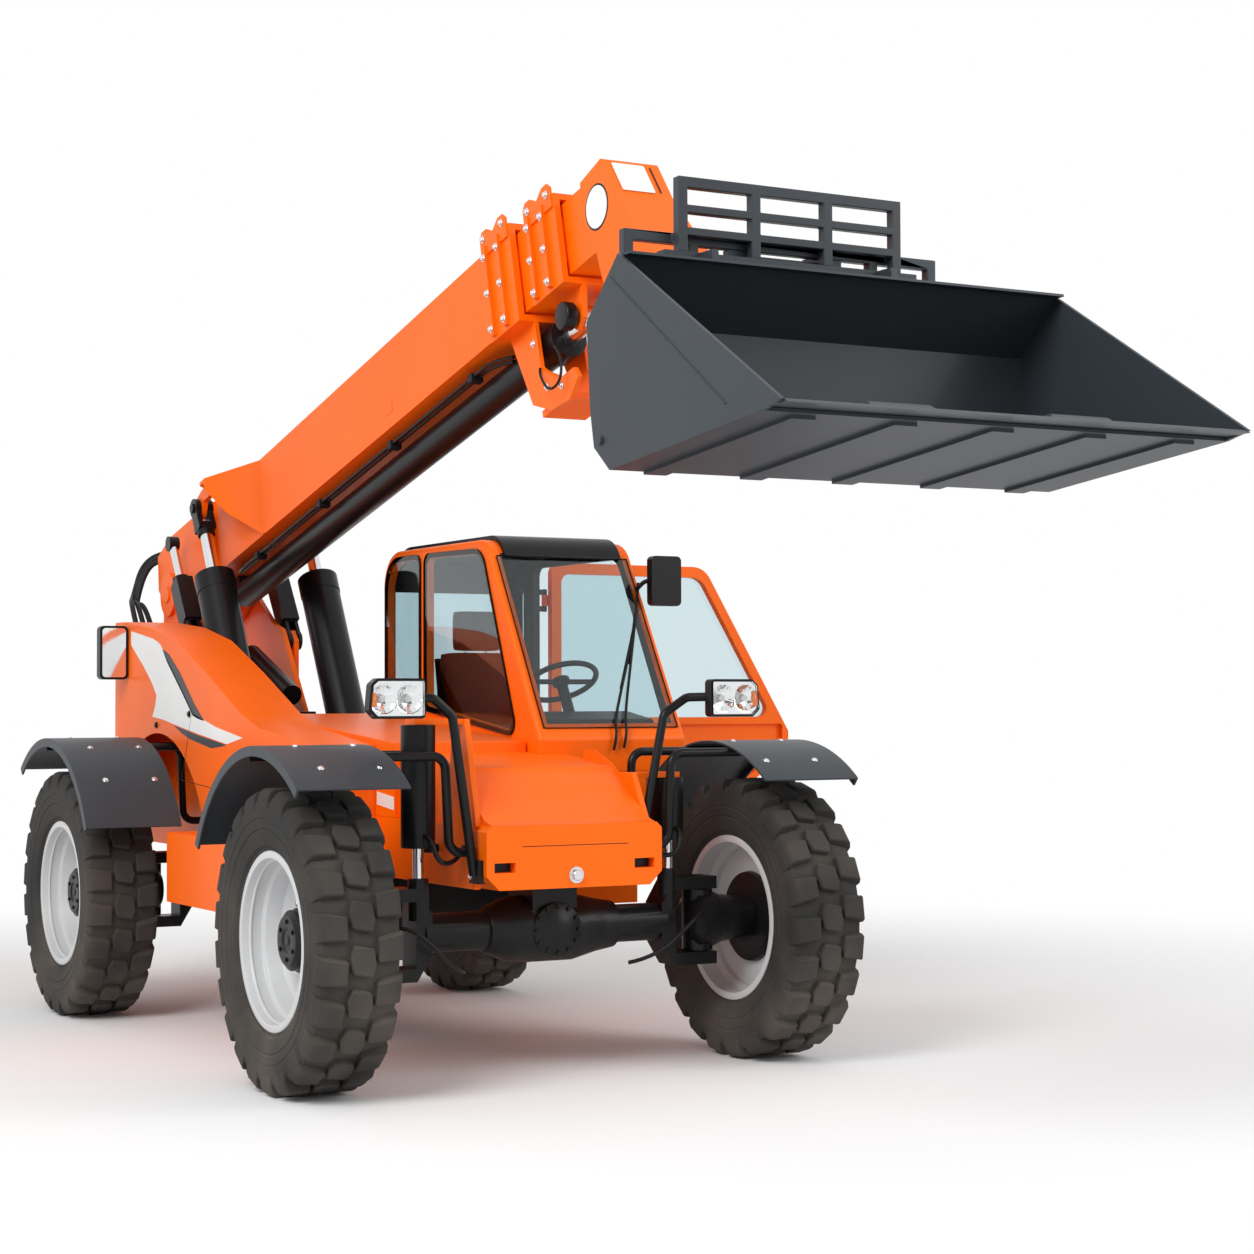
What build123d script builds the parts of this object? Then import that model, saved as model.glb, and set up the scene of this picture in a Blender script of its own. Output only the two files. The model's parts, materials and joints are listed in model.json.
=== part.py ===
from build123d import *
import os
from math import atan2, cos, degrees, radians, sin, sqrt

# A telehandler: a four-wheel steered chassis with a cab on the left, a three-section
# telescopic boom on a rear tower, and a bucket on a tilting carriage.
# X points forward, Y to the left, Z up. Everything is in millimetres.
# Heights are written above the ground; the parts are exported with the belly plate's
# underside, the origin's level, at zero.

# ---- chassis and running gear ----
ground_clearance = 450
wheelbase = 3100
wheel_track = 2250
tyre_diameter = 1290
tyre_width = 370
tread_lugs = 22
tread_depth = 30
lug_half_length = 60
rim_flange_diameter = 760
rim_width = 310
rim_bead_diameter = 711
hub_cap_diameter = 260
hub_cap_height = 103
wheel_disc_offset = -24
wheel_disc_thickness = 12
hub_flange_diameter = 420
hub_flange_thickness = 25
spindle_diameter = 90
kingpin_spacing = 1600
kingpin_diameter = 80
knuckle_diameter = 260
axle_tube_diameter = 170
axle_housing_diameter = 300
yoke_half_height = 200
yoke_gap = 5
frame_half_width = 430
frame_plate = 30
frame_front = 1870
frame_rear = -2750
frame_bottom = 840
frame_top = 1115
nose_wall = 25
pan_wall = 12
cover_half_width = 400
side_box_half_length = 640
side_box_outer = 1000
side_box_bottom = 650
cover_wall = 8
seat_gap = 0.3
running_gap = 0.5

# ---- fenders ----
fender_inner_y = 858
fender_outer_y = 1359
fender_radius = 820
fender_thickness = 10
fender_tip_reach = 500
fender_tail_reach = 730
fender_arm_radius = 20
fender_arm_spread = 180
fender_arm_rise = 130
fender_arm_bend = 60
fender_gap = 20

# ---- boom ----
boom_pivot_x = -2850
boom_pivot_z = 2300
boom_angle = 13.4
boom_pin_diameter = 100
outer_half_width = 180
outer_bottom = -55
outer_top = 365
outer_front = 4690
outer_wall = 10
mid_half_width = 155
section_show = 385
mid_wall = 8
inner_half_width = 130
inner_wall = 8
section_gap = 15
collar_length = 280
collar_step = 20
collar_rib = 10
telescope_radius = 75
telescope_axis = -168
telescope_rod_radius = 40
head_half_width = 138
head_plate = 25
head_show = 175

# ---- cylinders ----
lift_y = 310
saddle_plate = 20
lift_base = (-1190, 1100)
lift_eye = (-2100, 2760)
lift_radius = 110
lift_rod_radius = 37
lift_pin_radius = 35
comp_y = 300
comp_base = (-2238, 2015)
comp_eye = (-2640, 2590)
comp_radius = 50
comp_rod_radius = 25
comp_pin_radius = 25
tilt_pin_radius = 25
tilt_base = (2499, 3451)
tilt_eye = (3399, 3026)
tilt_radius = 52
tilt_rod_radius = 25

# ---- tool ----
carriage_pivot = (3350, 2750)
carriage_pin_diameter = 60
bucket_back = (3755, 2965)
bucket_heel = (3780, 2650)
bucket_half_width = 940
bucket_plate = 12
bucket_side_plate = 15

# ---- lamps, mirrors and levelling cylinders ----
lamp_centre = (1845, 830, 1660)
lamp_depth = 50
lamp_wall = 10
lamp_tube_radius = 20
mirror_arm_radius = 11
sway_x = 1585
sway_y = 620
sway_radius = 75
sway_rod_radius = 25
sway_foot = 885
sway_low = 1017
sway_tops = {"left": 1300, "right": 1547}
muffler_radius = 60

# ---- cab ----
cab_right = 260
cab_left = 1060
cab_rear = -820
cab_post = 60
cab_wall = 40
cab_edge_radius = 25
roof_height = 2450
roof_thickness = 24
glass_thickness = 6
door_thickness = 45
door_gap = 6
door_hinge_x = -600
door_closing_angle = 90

axle_height = tyre_diameter / 2
axle_x = {"front": wheelbase / 2, "rear": -wheelbase / 2}
side_sign = {"left": 1, "right": -1}
kingpin_y = kingpin_spacing / 2
wheel_y = wheel_track / 2
boom_plane = Plane(
    origin=(boom_pivot_x, 0, boom_pivot_z),
    x_dir=(cos(radians(boom_angle)), 0, sin(radians(boom_angle))),
    z_dir=(-sin(radians(boom_angle)), 0, cos(radians(boom_angle))),
)

parts = {}


# ---- small helpers ----
def block(x, y, z):
    """Box between the pairs of limits x, y and z."""
    size = Box(x[1] - x[0], y[1] - y[0], z[1] - z[0])
    return Pos((x[0] + x[1]) / 2, (y[0] + y[1]) / 2, (z[0] + z[1]) / 2) * size


def plate(outline, y_from, y_to):
    """Slab whose outline is a list of (x, z) points, between two sides y."""
    face = make_face(Polyline(*[(x, y_from, z) for x, z in outline], close=True))
    return extrude(face, y_to - y_from, dir=(0, 1, 0))


def rounded_plate(corners, y_from, y_to):
    """Slab like plate's, whose corners are (x, z, radius)."""
    points = [(x, y_from, z) for x, z, _ in corners]
    wire = FilletPolyline(*points, radius=[radius for _, _, radius in corners], close=True)
    return extrude(make_face(wire), y_to - y_from, dir=(0, 1, 0))


def plan(outline, z_from, z_to):
    """Slab whose outline is a list of (x, y) points, between two heights."""
    face = make_face(Polyline(*[(x, y, z_from) for x, y in outline], close=True))
    return extrude(face, z_to - z_from, dir=(0, 0, 1))


def section(outline, x_from, x_to):
    """Slab whose outline is a list of (y, z) points, between two stations x."""
    face = make_face(Polyline(*[(x_from, y, z) for y, z in outline], close=True))
    return extrude(face, x_to - x_from, dir=(1, 0, 0))


def rod(start, end, radius):
    """Round bar from one point to another."""
    axis = Vector(*end) - Vector(*start)
    bar = Cylinder(radius, axis.length, align=(Align.CENTER, Align.CENTER, Align.MIN))
    return Plane(origin=start, z_dir=axis) * bar


def cross_pin(x, z, y_from, y_to, radius):
    """Round bar along Y."""
    return rod((x, min(y_from, y_to), z), (x, max(y_from, y_to), z), radius)


def turned(profile):
    """Solid of revolution about Y from (y, radius) points."""
    face = make_face(Polyline(*[(0, y, r) for y, r in profile], close=True))
    return revolve(face, Axis.Y, 360)


def mirrored(shape):
    """The same shape on the other side of the machine."""
    return mirror(shape, about=Plane.XZ)


def fused(shapes):
    """One solid from shapes that meet."""
    whole = shapes[0]
    for shape in shapes[1:]:
        whole = whole + shape
    return whole


def grouped(shapes):
    """Several solids that don't touch, kept as one node."""
    return Compound([solid for shape in shapes for solid in shape.solids()])


def to_boom(x, z):
    """Boom coordinates of a machine point (x, z)."""
    point = boom_plane.to_local_coords(Vector(x, 0, z))
    return point.X, point.Z


def bent_tube(points, radius, bend):
    """Round bar along a list of points, its corners rounded by bend."""
    path = FilletPolyline(*points, radius=bend)
    start = Plane(origin=path @ 0, z_dir=path % 0)
    return sweep(start * Circle(radius), path=path)


# ---- wheels ----
def facets(radius, depth, end_radius=None):
    """Prism or taper about Z from z = 0, one facet to each pitch of the tread."""
    angle = degrees(atan2(radius - (radius if end_radius is None else end_radius), depth))
    return extrude(RegularPolygon(radius, tread_lugs, major_radius=False), depth, taper=angle)


def make_tyre():
    """Facetted casing with two staggered rows of lugs, built about Z and laid on its side."""
    half = tyre_width / 2
    tread = tyre_diameter / 2 - tread_depth
    tread_half = half - 35
    bead = rim_bead_diameter / 2 + seat_gap
    bead_y = rim_width / 2 - 8 - seat_gap
    flange = rim_flange_diameter / 2 + 6
    shoulder = Pos(0, 0, tread_half) * facets(tread, half - tread_half, tread - 50)
    funnel = Pos(0, 0, half) * Rot(180, 0, 0) * facets(flange + 114, half - bead_y, flange)
    casing = Pos(0, 0, -tread_half) * facets(tread, 2 * tread_half)
    casing = casing + shoulder + mirror(shoulder, about=Plane.XY) - funnel - mirror(funnel, about=Plane.XY)
    casing -= Pos(0, 0, -half) * facets(bead, tyre_width)
    pitch = 360 / tread_lugs
    lug_top = (tyre_diameter / 2 - lug_half_length * sin(radians(pitch / 2))) / cos(radians(pitch / 2))
    lug_foot = tread - 25
    outline = [(-lug_half_length + 10, 12), (lug_half_length - 15, 12), (lug_half_length, half - 9),
               (30 - lug_half_length, half - 9)]
    face = Plane(origin=(lug_foot, 0, 0), x_dir=(0, 1, 0), z_dir=(1, 0, 0)) * make_face(
        Polyline(*outline, close=True))
    lug = extrude(face, lug_top - lug_foot)
    other = mirror(lug, about=Plane.XY)
    lugs = [Rot(0, 0, k * pitch) * lug for k in range(tread_lugs)]
    lugs += [Rot(0, 0, (k + 0.5) * pitch) * other for k in range(tread_lugs)]
    return Rot(90, 0, 0) * Rot(0, 0, 90) * casing.fuse(*lugs)


def make_rim():
    half = rim_width / 2
    flange = rim_flange_diameter / 2
    bead = rim_bead_diameter / 2
    well = bead - 28
    disc_out = wheel_disc_offset + wheel_disc_thickness / 2
    disc_in = wheel_disc_offset - wheel_disc_thickness / 2
    pilot = hub_cap_diameter / 2 + 20
    return turned([
        (half, flange), (half - 8, flange), (half - 8, bead), (72, bead - 3), (52, well),
        (-52, well), (-72, bead - 3), (-half + 8, bead), (-half + 8, flange), (-half, flange),
        (-half, bead - 8), (-75, bead - 11), (-57, well - 8), (disc_in, well - 8),
        (disc_in, pilot), (disc_out, pilot), (disc_out, well - 20), (57, well - 8),
        (75, bead - 11), (half, bead - 8),
    ])


def make_hub():
    disc_in = wheel_disc_offset - wheel_disc_thickness / 2
    disc_out = wheel_disc_offset + wheel_disc_thickness / 2
    back = disc_in - hub_flange_thickness
    cap = hub_cap_diameter / 2
    bore = spindle_diameter / 2 + running_gap
    pilot = cap + 20 - seat_gap
    return turned([
        (back, bore), (back, hub_flange_diameter / 2), (disc_in, hub_flange_diameter / 2),
        (disc_in, pilot), (disc_out, pilot), (disc_out, cap), (disc_out + hub_cap_height - 15, cap),
        (disc_out + hub_cap_height, cap - 15), (disc_out + hub_cap_height, 0), (25, 0), (25, bore),
    ])


def make_knuckle():
    """Knuckle about the kingpin, with its spindle towards +Y."""
    radius = knuckle_diameter / 2
    reach = wheel_y - kingpin_y
    hub_back = reach + wheel_disc_offset - wheel_disc_thickness / 2 - hub_flange_thickness
    half_height = yoke_half_height - 57 - yoke_gap
    housing = turned([
        (-60, 0), (-60, radius - 40), (-30, radius), (60, radius), (110, radius - 20),
        (hub_back - 5, radius - 40), (hub_back - 5, spindle_diameter / 2),
        (reach + 20, spindle_diameter / 2), (reach + 20, 0),
    ])
    column = Cylinder(70, 2 * half_height)
    pins = Cylinder(kingpin_diameter / 2, 2 * yoke_half_height - 10)
    return housing + column + pins


tyre = make_tyre()
for axle in ("front", "rear"):
    for side in ("left", "right"):
        place = Pos(axle_x[axle], wheel_y * side_sign[side], axle_height)
        pivot = Pos(axle_x[axle], kingpin_y * side_sign[side], axle_height)
        turn = Rot(0, 0, 0 if side == "left" else 180)
        parts[f"tyre_{axle}_{side}"] = place * turn * tyre
        parts[f"rim_{axle}_{side}"] = place * turn * make_rim()
        parts[f"hub_{axle}_{side}"] = place * turn * make_hub()
        parts[f"knuckle_{axle}_{side}"] = pivot * turn * make_knuckle()


# ---- axles ----
def make_axle():
    """Driven steering axle about its own centre, its drive pinion towards +X."""
    tube = axle_tube_diameter / 2
    big = axle_housing_diameter / 2
    throat = kingpin_y - 155
    arm = yoke_half_height - 57
    beam = turned([
        (-600, 0), (-600, tube), (-300, tube), (-290, tube + 15), (-190, big - 10), (-60, big),
        (130, big), (250, big - 30), (340, tube + 20), (350, tube), (600, tube), (600, 0),
    ])
    outline = [
        (570, tube), (throat - 5, yoke_half_height), (kingpin_y + 60, yoke_half_height),
        (kingpin_y + 60, arm), (throat, arm), (throat, -arm), (kingpin_y + 60, -arm),
        (kingpin_y + 60, -yoke_half_height), (throat - 5, -yoke_half_height), (570, -tube),
    ]
    yoke = section(outline, -75, 75) - Cylinder(kingpin_diameter / 2 + running_gap,
                                                3 * yoke_half_height).moved(
        Location((0, kingpin_y, 0)))
    pinion = rod((0, 20, 0), (330, 20, 0), 80)
    saddle = block((-120, 120), (-110, 110), (0, frame_bottom - axle_height))
    return beam + yoke + mirrored(yoke) + pinion + saddle


rear_axle = make_axle()
parts["rear_axle"] = Pos(axle_x["rear"], 0, axle_height) * rear_axle
parts["front_axle"] = Pos(axle_x["front"], 0, axle_height) * mirror(rear_axle, about=Plane.YZ)
for sign in side_sign.values():
    parts["front_axle"] += rod((sway_x, sign * sway_y, axle_height + 60),
                               (sway_x, sign * sway_y, sway_foot), 45)


# ---- frame ----
tower_inner = outer_half_width + 20 + 7
tower_plate = 30
tower_outer = tower_inner + tower_plate
pivot_boss = 150


def make_sway_bracket(side):
    """Upright on the nose with an arm over the head of a levelling cylinder, drawn for the left side."""
    top = sway_tops[side] + seat_gap
    upright = plate([(sway_x - 110, frame_top - 5), (sway_x - 60, top + 25), (sway_x + 60, top + 25),
                     (sway_x + 180, frame_top - 5)], frame_half_width - 28, frame_half_width)
    arm = block((sway_x - 50, sway_x + 50), (frame_half_width - 20, sway_y + 40), (top, top + 25))
    return upright + arm


def make_frame():
    rail = [
        (frame_rear, frame_bottom), (frame_rear, 1400), (-2350, 1480), (-1650, 1250), (-1450,
                1190), (-1370, 1125),
        (-1290, 1165), (-1090, 1165), (-820, frame_top), (frame_front - 120, frame_top),
        (frame_front - 120, frame_bottom), (800, frame_bottom), (650, 700), (-650, 700), (-800,
                frame_bottom),
    ]
    rails = plate(rail, frame_half_width - frame_plate, frame_half_width)
    rails += mirrored(rails)
    inside = frame_half_width - frame_plate
    floor = block((frame_rear, 800), (-inside, inside), (frame_bottom, frame_bottom + frame_plate))
    nose = section(
        [(-frame_half_width, frame_bottom + 60), (-frame_half_width + 60, frame_bottom),
         (frame_half_width - 60, frame_bottom), (frame_half_width, frame_bottom + 60),
         (frame_half_width, frame_top - 25), (frame_half_width - 25, frame_top),
         (-frame_half_width + 25, frame_top), (-frame_half_width, frame_top - 25)],
        frame_front - 400, frame_front)
    slot = block((frame_front - 60, frame_front + 1), (292, 392), (915, 957))
    nose -= slot + mirrored(slot)
    nose -= block((frame_front - 401, frame_front - nose_wall - 60),
                  (nose_wall - frame_half_width, frame_half_width - nose_wall),
                  (frame_bottom + nose_wall, frame_top - nose_wall))
    bridge = block((800, frame_front - 400), (-inside, inside), (frame_bottom, frame_bottom + 30))
    tail = block((frame_rear - 20, frame_rear + 60), (-frame_half_width, frame_half_width),
                 (frame_bottom, 1400))
    tower_outline = [
        (frame_rear + 20, 870), (frame_rear + 20, 1400), (-2990, 2150), (-2990, boom_pivot_z),
        (boom_pivot_x, boom_pivot_z + pivot_boss - 20), (boom_pivot_x + 110, boom_pivot_z + 80),
        (-2330, 2120), (-2190, 2080), (-2160, 2040), (-1820, 1590), (-1620, 1290), (-1460, 1190), (-1370,
                1125),
        (-1290, 1165), (-1090, 1165), (-1060, 870),
    ]
    tower = plate(tower_outline, tower_inner, tower_outer)
    boss = cross_pin(boom_pivot_x, boom_pivot_z, tower_inner, tower_outer + 25, pivot_boss - 20)
    ear_outline = [
        (comp_base[0] - 130, comp_base[1] - 260), (comp_base[0] - 70, comp_base[1] + 20),
        (comp_base[0], comp_base[1] + 60), (comp_base[0] + 60, comp_base[1]), (comp_base[0] + 60,
                comp_base[1] - 260),
    ]
    ear = plate(ear_outline, comp_y - 15, comp_y + 15)
    ear_web = block((comp_base[0] - 125, comp_base[0] + 55), (tower_outer - 5, comp_y + 15),
                    (comp_base[1] - 260, comp_base[1] - 150))
    side = tower + boss + ear + ear_web
    return rails + floor + nose + bridge + tail + side + mirrored(side) + make_sway_bracket("left") \
        + mirrored(make_sway_bracket("right"))


parts["main_frame"] = make_frame()
pan_half_width = frame_half_width - frame_plate - 1
parts["belly_pan"] = block((-640, 620), (-pan_half_width, pan_half_width), (ground_clearance, frame_bottom))
parts["belly_pan"] -= block((-640 + pan_wall, 620 - pan_wall),
                            (pan_wall - pan_half_width, pan_half_width - pan_wall),
                            (ground_clearance + pan_wall, frame_bottom + 1))

parts["main_frame"] += cross_pin(boom_pivot_x, boom_pivot_z, -tower_outer - 35, tower_outer + 35,
                                 boom_pin_diameter / 2)
for sign in side_sign.values():
    parts["main_frame"] += cross_pin(*lift_base, sign * tower_inner, sign * frame_half_width,
                                     lift_pin_radius)
    parts["main_frame"] += cross_pin(*comp_base, sign * (comp_y - 44), sign * (comp_y + 44), comp_pin_radius)


# ---- fenders on their arms ----
def make_fender(axle, sign):
    """Arched fender; the tip points away from the machine's middle."""
    outward = 1 if axle == "front" else -1
    centre_x = axle_x[axle]
    ring = Cylinder(fender_radius, fender_outer_y - fender_inner_y) - Cylinder(
        fender_radius - fender_thickness, 1000)
    lip = Cylinder(fender_radius, 12) - Cylinder(fender_radius - 45, 100)
    lip = lip.moved(Location((0, 0, (fender_outer_y - fender_inner_y) / 2 - 6)))
    tyre_cover = Rot(90, 0, 0) * (ring + lip)
    reach = 2 * fender_radius
    tip_z = sqrt(fender_radius ** 2 - fender_tip_reach ** 2)
    tail_z = sqrt(fender_radius ** 2 - fender_tail_reach ** 2)
    cutter = [
        (0, 0), (outward * fender_tip_reach * reach / fender_radius, tip_z * reach / fender_radius),
        (0, 2 * reach), (-outward * fender_tail_reach * reach / fender_radius,
                         tail_z * reach / fender_radius),
    ]
    cover = tyre_cover & plate(cutter, -1000, 1000)
    middle = (fender_inner_y + fender_outer_y) / 2
    if sign > 0:
        cover = mirrored(cover)
    return cover.moved(Location((centre_x, sign * middle, axle_height)))


def make_fender_arms(axle, sign):
    """Two bent tubes that reach from the frame rail out under a fender."""
    arms = []
    reach = fender_radius - fender_thickness - seat_gap - fender_arm_radius
    z = axle_height + sqrt(reach ** 2 - fender_arm_spread ** 2)
    for shift in (-fender_arm_spread, fender_arm_spread):
        x = axle_x[axle] + shift
        knee = frame_half_width + fender_arm_rise
        foot_z = frame_top - 115
        points = [(x, sign * frame_half_width, foot_z), (x, sign * (knee - 20), foot_z), (x, sign * knee, z),
                  (x, sign * (fender_outer_y - 60), z)]
        arms.append(bent_tube(points, fender_arm_radius, fender_arm_bend))
    return arms


corners = [(axle, sign) for axle in axle_x for sign in side_sign.values()]
parts["fenders"] = grouped([make_fender(axle, sign) for axle, sign in corners])
parts["fender_arms"] = grouped([arm for axle, sign in corners for arm in make_fender_arms(axle, sign)])


# ---- boom sections, in boom coordinates ----
def tube_section(x, half_width, z, wall):
    """Rectangular tube along the boom."""
    outer = block(x, (-half_width, half_width), z)
    inner = block((x[0] - 1, x[1] + 1), (wall - half_width, half_width - wall), (z[0] + wall, z[1] - wall))
    return outer - inner


def collar(x_end, half_width, z, bore_half_width, bore_z):
    """Reinforcing band at the mouth of a section, with two upright ribs and a bolting ear on each side."""
    outer = block((x_end - collar_length, x_end), (-half_width, half_width), z)
    ear_x = x_end - collar_length / 2
    ear = plate([(ear_x - 130, z[1] - 60), (ear_x - 130, z[1] + 30), (ear_x - 105, z[1] + 55),
                 (ear_x - 60, z[1] + 55), (ear_x, z[1] + 20), (ear_x + 60, z[1] + 55), (ear_x + 105,
                         z[1] + 55),
                 (ear_x + 130, z[1] + 30), (ear_x + 130,
                                            z[1] - 60)], half_width - 1, half_width + collar_rib)
    for x in (x_end - collar_length + 35, x_end - 115):
        ear += block((x, x + 30), (half_width - 1, half_width + 2 * collar_rib), (z[0] + 15, z[1] - 20))
    outer += ear + mirrored(ear)
    return outer - block((x_end - collar_length - 1, x_end + 1), (-bore_half_width, bore_half_width), bore_z)


mid_front = outer_front + section_show
head_x = mid_front + head_show
mid_bottom = outer_bottom + outer_wall + section_gap
mid_top = outer_top - outer_wall - section_gap
inner_bottom = mid_bottom + mid_wall + section_gap
inner_top = mid_top - mid_wall - section_gap
lift_eye_local = to_boom(*lift_eye)
telescope_lug_x = mid_front - 90


def wear_pads(x_end, gap_from, half_width, z):
    """Sliding pads inside the mouth of a section, against the section that slides in it."""
    pads = []
    inner_y = half_width + running_gap
    for sign in (1, -1):
        pads.append(block((x_end - 200, x_end - 20), sorted((sign * inner_y, sign * gap_from)),
                          (z[0] + 60, z[1] - 60)))
    pads.append(block((x_end - 200, x_end - 20), (-half_width + 30, half_width - 30),
                      (z[0] - section_gap, z[0] - running_gap)))
    pads.append(block((x_end - 200, x_end - 20), (-half_width + 30, half_width - 30),
                      (z[1] + running_gap, z[1] + section_gap)))
    return pads


def make_outer_section():
    tube = tube_section((-60, outer_front), outer_half_width, (outer_bottom, outer_top), outer_wall)
    band = collar(outer_front, outer_half_width + collar_step,
                  (outer_bottom - collar_step, outer_top + collar_step),
                  outer_half_width - outer_wall, (outer_bottom + outer_wall, outer_top - outer_wall))
    pads = wear_pads(outer_front, outer_half_width - outer_wall, mid_half_width, (mid_bottom, mid_top))
    tail_outline = [
        (-190, -60), (-120, -150), (60, -150), (300, outer_bottom), (700, outer_bottom), (700, outer_top),
        (-60, outer_top + 10), (-300, outer_top - 40), (-330, 120),
    ]
    tail = plate(tail_outline, outer_half_width - outer_wall, outer_half_width + 20)
    tail += mirrored(tail)
    tail_web = block((-300, -60), (-outer_half_width, outer_half_width), (outer_top - 90, outer_top - 60))
    hub = cross_pin(0, 0, -outer_half_width - 20, outer_half_width + 20, pivot_boss - 40)
    whole = tube + band + fused(pads) + tail + tail_web + hub
    return whole - cross_pin(0, 0, -500, 500, boom_pin_diameter / 2 + running_gap)


def make_saddle():
    """Bracket for the head of a left lift cylinder: a lug under a roof, and a flared cheek before it."""
    x_eye, z_eye = lift_eye_local
    outer_y = lift_y + 70
    lug = plate(
        [(x_eye - 60, z_eye - 25), (x_eye - 25, z_eye - 58), (x_eye + 25, z_eye - 58),
         (x_eye + 60, z_eye - 10),
         (x_eye + 80, z_eye + 20), (x_eye + 240, z_eye + 20), (x_eye + 240, outer_top), (x_eye + 70,
                 outer_top),
         (x_eye - 40, z_eye + 62), (x_eye - 60, z_eye + 25)], lift_y - 15, lift_y + 15)
    roof = plan(
        [(x_eye + 135, outer_half_width), (x_eye + 135, lift_y + 15), (x_eye + 190, outer_y),
         (x_eye + 275, outer_y), (x_eye + 620, outer_half_width)], outer_top - saddle_plate, outer_top)
    cheek = plan(
        [(x_eye + 235, outer_y), (x_eye + 275, outer_y), (x_eye + 620, outer_half_width),
         (x_eye + 580, outer_half_width)], outer_bottom, outer_top)
    side_view = plate(
        [(x_eye + 225, outer_top), (x_eye + 390, z_eye - 144), (x_eye + 600, outer_bottom),
         (x_eye + 660, outer_bottom), (x_eye + 660, outer_top)], 0, 500)
    return lug + roof + (cheek & side_view)


saddle = make_saddle()


def make_telescope_barrel():
    start = 620
    end = outer_front + 60
    barrel = rod((start, 0, telescope_axis), (end, 0, telescope_axis), telescope_radius)
    gland = rod((end - 120, 0, telescope_axis), (end + 10, 0, telescope_axis), telescope_radius + 13)
    bore = rod((start + 60, 0, telescope_axis), (end + 20, 0, telescope_axis),
               telescope_rod_radius + running_gap)
    eye = block((start - 90, start + 10), (-40, 40), (telescope_axis - 50, outer_bottom - 1))
    return barrel + gland + eye - bore


def make_front_yoke():
    """C-shaped pair of plates under the collar that cradles the telescope cylinder's gland."""
    outline = [
        (outer_front - collar_length + 40, outer_bottom - collar_step), (outer_front - collar_length
                + 120, -280),
        (outer_front - 100, -430), (outer_front + 60, -510), (outer_front + 230,
                -520), (outer_front + 330, -450),
        (outer_front + 300, -400), (outer_front + 180, -400), (outer_front + 60, -330),
        (outer_front + 10, -290), (outer_front, outer_bottom - collar_step),
    ]
    return plate(outline, 105, 125)


yoke = make_front_yoke()
tie = block((outer_front - 60, outer_front + 200), (-105, 105), (-500, -470))
outer_section = make_outer_section() + saddle + mirrored(saddle) + yoke + mirrored(yoke) + tie
parts["boom_outer_section"] = boom_plane * outer_section
parts["telescope_barrel"] = boom_plane * make_telescope_barrel()


def make_mid_section():
    tube = tube_section((250, mid_front), mid_half_width, (mid_bottom, mid_top), mid_wall)
    band = collar(mid_front, mid_half_width + collar_step, (mid_bottom - collar_step, mid_top + collar_step),
                  mid_half_width - mid_wall, (mid_bottom + mid_wall, mid_top - mid_wall))
    pads = wear_pads(mid_front, mid_half_width - mid_wall, inner_half_width, (inner_bottom, inner_top))
    lug = plate(
        [(telescope_lug_x - 50, mid_bottom - collar_step), (telescope_lug_x - 50, telescope_axis - 20),
         (telescope_lug_x, telescope_axis - 60), (telescope_lug_x + 60, telescope_axis - 20),
         (mid_front, mid_bottom - collar_step)], 60, 85)
    return tube + band + fused(pads) + lug + mirrored(lug)


def make_telescope_rod():
    bar = rod((800, 0, telescope_axis), (telescope_lug_x, 0, telescope_axis), telescope_rod_radius)
    eye = cross_pin(telescope_lug_x, telescope_axis, -59, 59, 55)
    return bar + eye


parts["boom_mid_section"] = boom_plane * make_mid_section()
parts["telescope_rod"] = boom_plane * make_telescope_rod()


def make_inner_section():
    return tube_section((560, head_x + 80), inner_half_width, (inner_bottom, inner_top), inner_wall)


def make_head():
    """Gooseneck head: two side plates closed by a front plate, with the carriage pivot at its foot."""
    pivot = to_boom(*carriage_pivot)
    outline = [
        (head_x, 330), (head_x + 190, 355), (head_x + 280, 160), (head_x + 580, -290), (head_x + 760, -520),
        (pivot[0] + 75, pivot[1] + 60), (pivot[0] + 70, pivot[1] - 50), (pivot[0], pivot[1] - 80),
        (pivot[0] - 80, pivot[1] - 20), (head_x + 310, -560), (head_x + 90, -150), (head_x + 60, 10),
        (head_x - 20, 130),
    ]
    side = plate(outline, head_half_width - head_plate, head_half_width)
    front = plate(
        [(head_x, 330), (head_x + 190, 355), (head_x + 280, 160), (head_x + 580, -290), (head_x + 565, -300),
         (head_x + 265, 150), (head_x + 182, 340), (head_x, 316)], head_plate - head_half_width,
        head_half_width - head_plate)
    back = plate(
        [(head_x + 90, -150), (head_x + 310, -560), (head_x + 700, -900), (head_x + 710, -885),
         (head_x + 323, -548), (head_x + 105, -145)],
                        head_plate - head_half_width, head_half_width - head_plate)
    foot = cross_pin(*pivot, head_half_width - head_plate, head_half_width + 8, 75)
    head = side + mirrored(side) + front + back + foot + mirrored(foot)
    head += cross_pin(*to_boom(*tilt_base), -head_half_width - 6, head_half_width + 6, tilt_pin_radius)
    head += cross_pin(*pivot, -head_half_width - 45, head_half_width + 45, carriage_pin_diameter / 2)
    return head - block((head_x - 50, head_x + 81), (-inner_half_width - 0.01, inner_half_width + 0.01),
                        (inner_bottom, inner_top))


parts["boom_inner_section"] = boom_plane * make_inner_section()
parts["boom_head"] = boom_plane * make_head()


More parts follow.
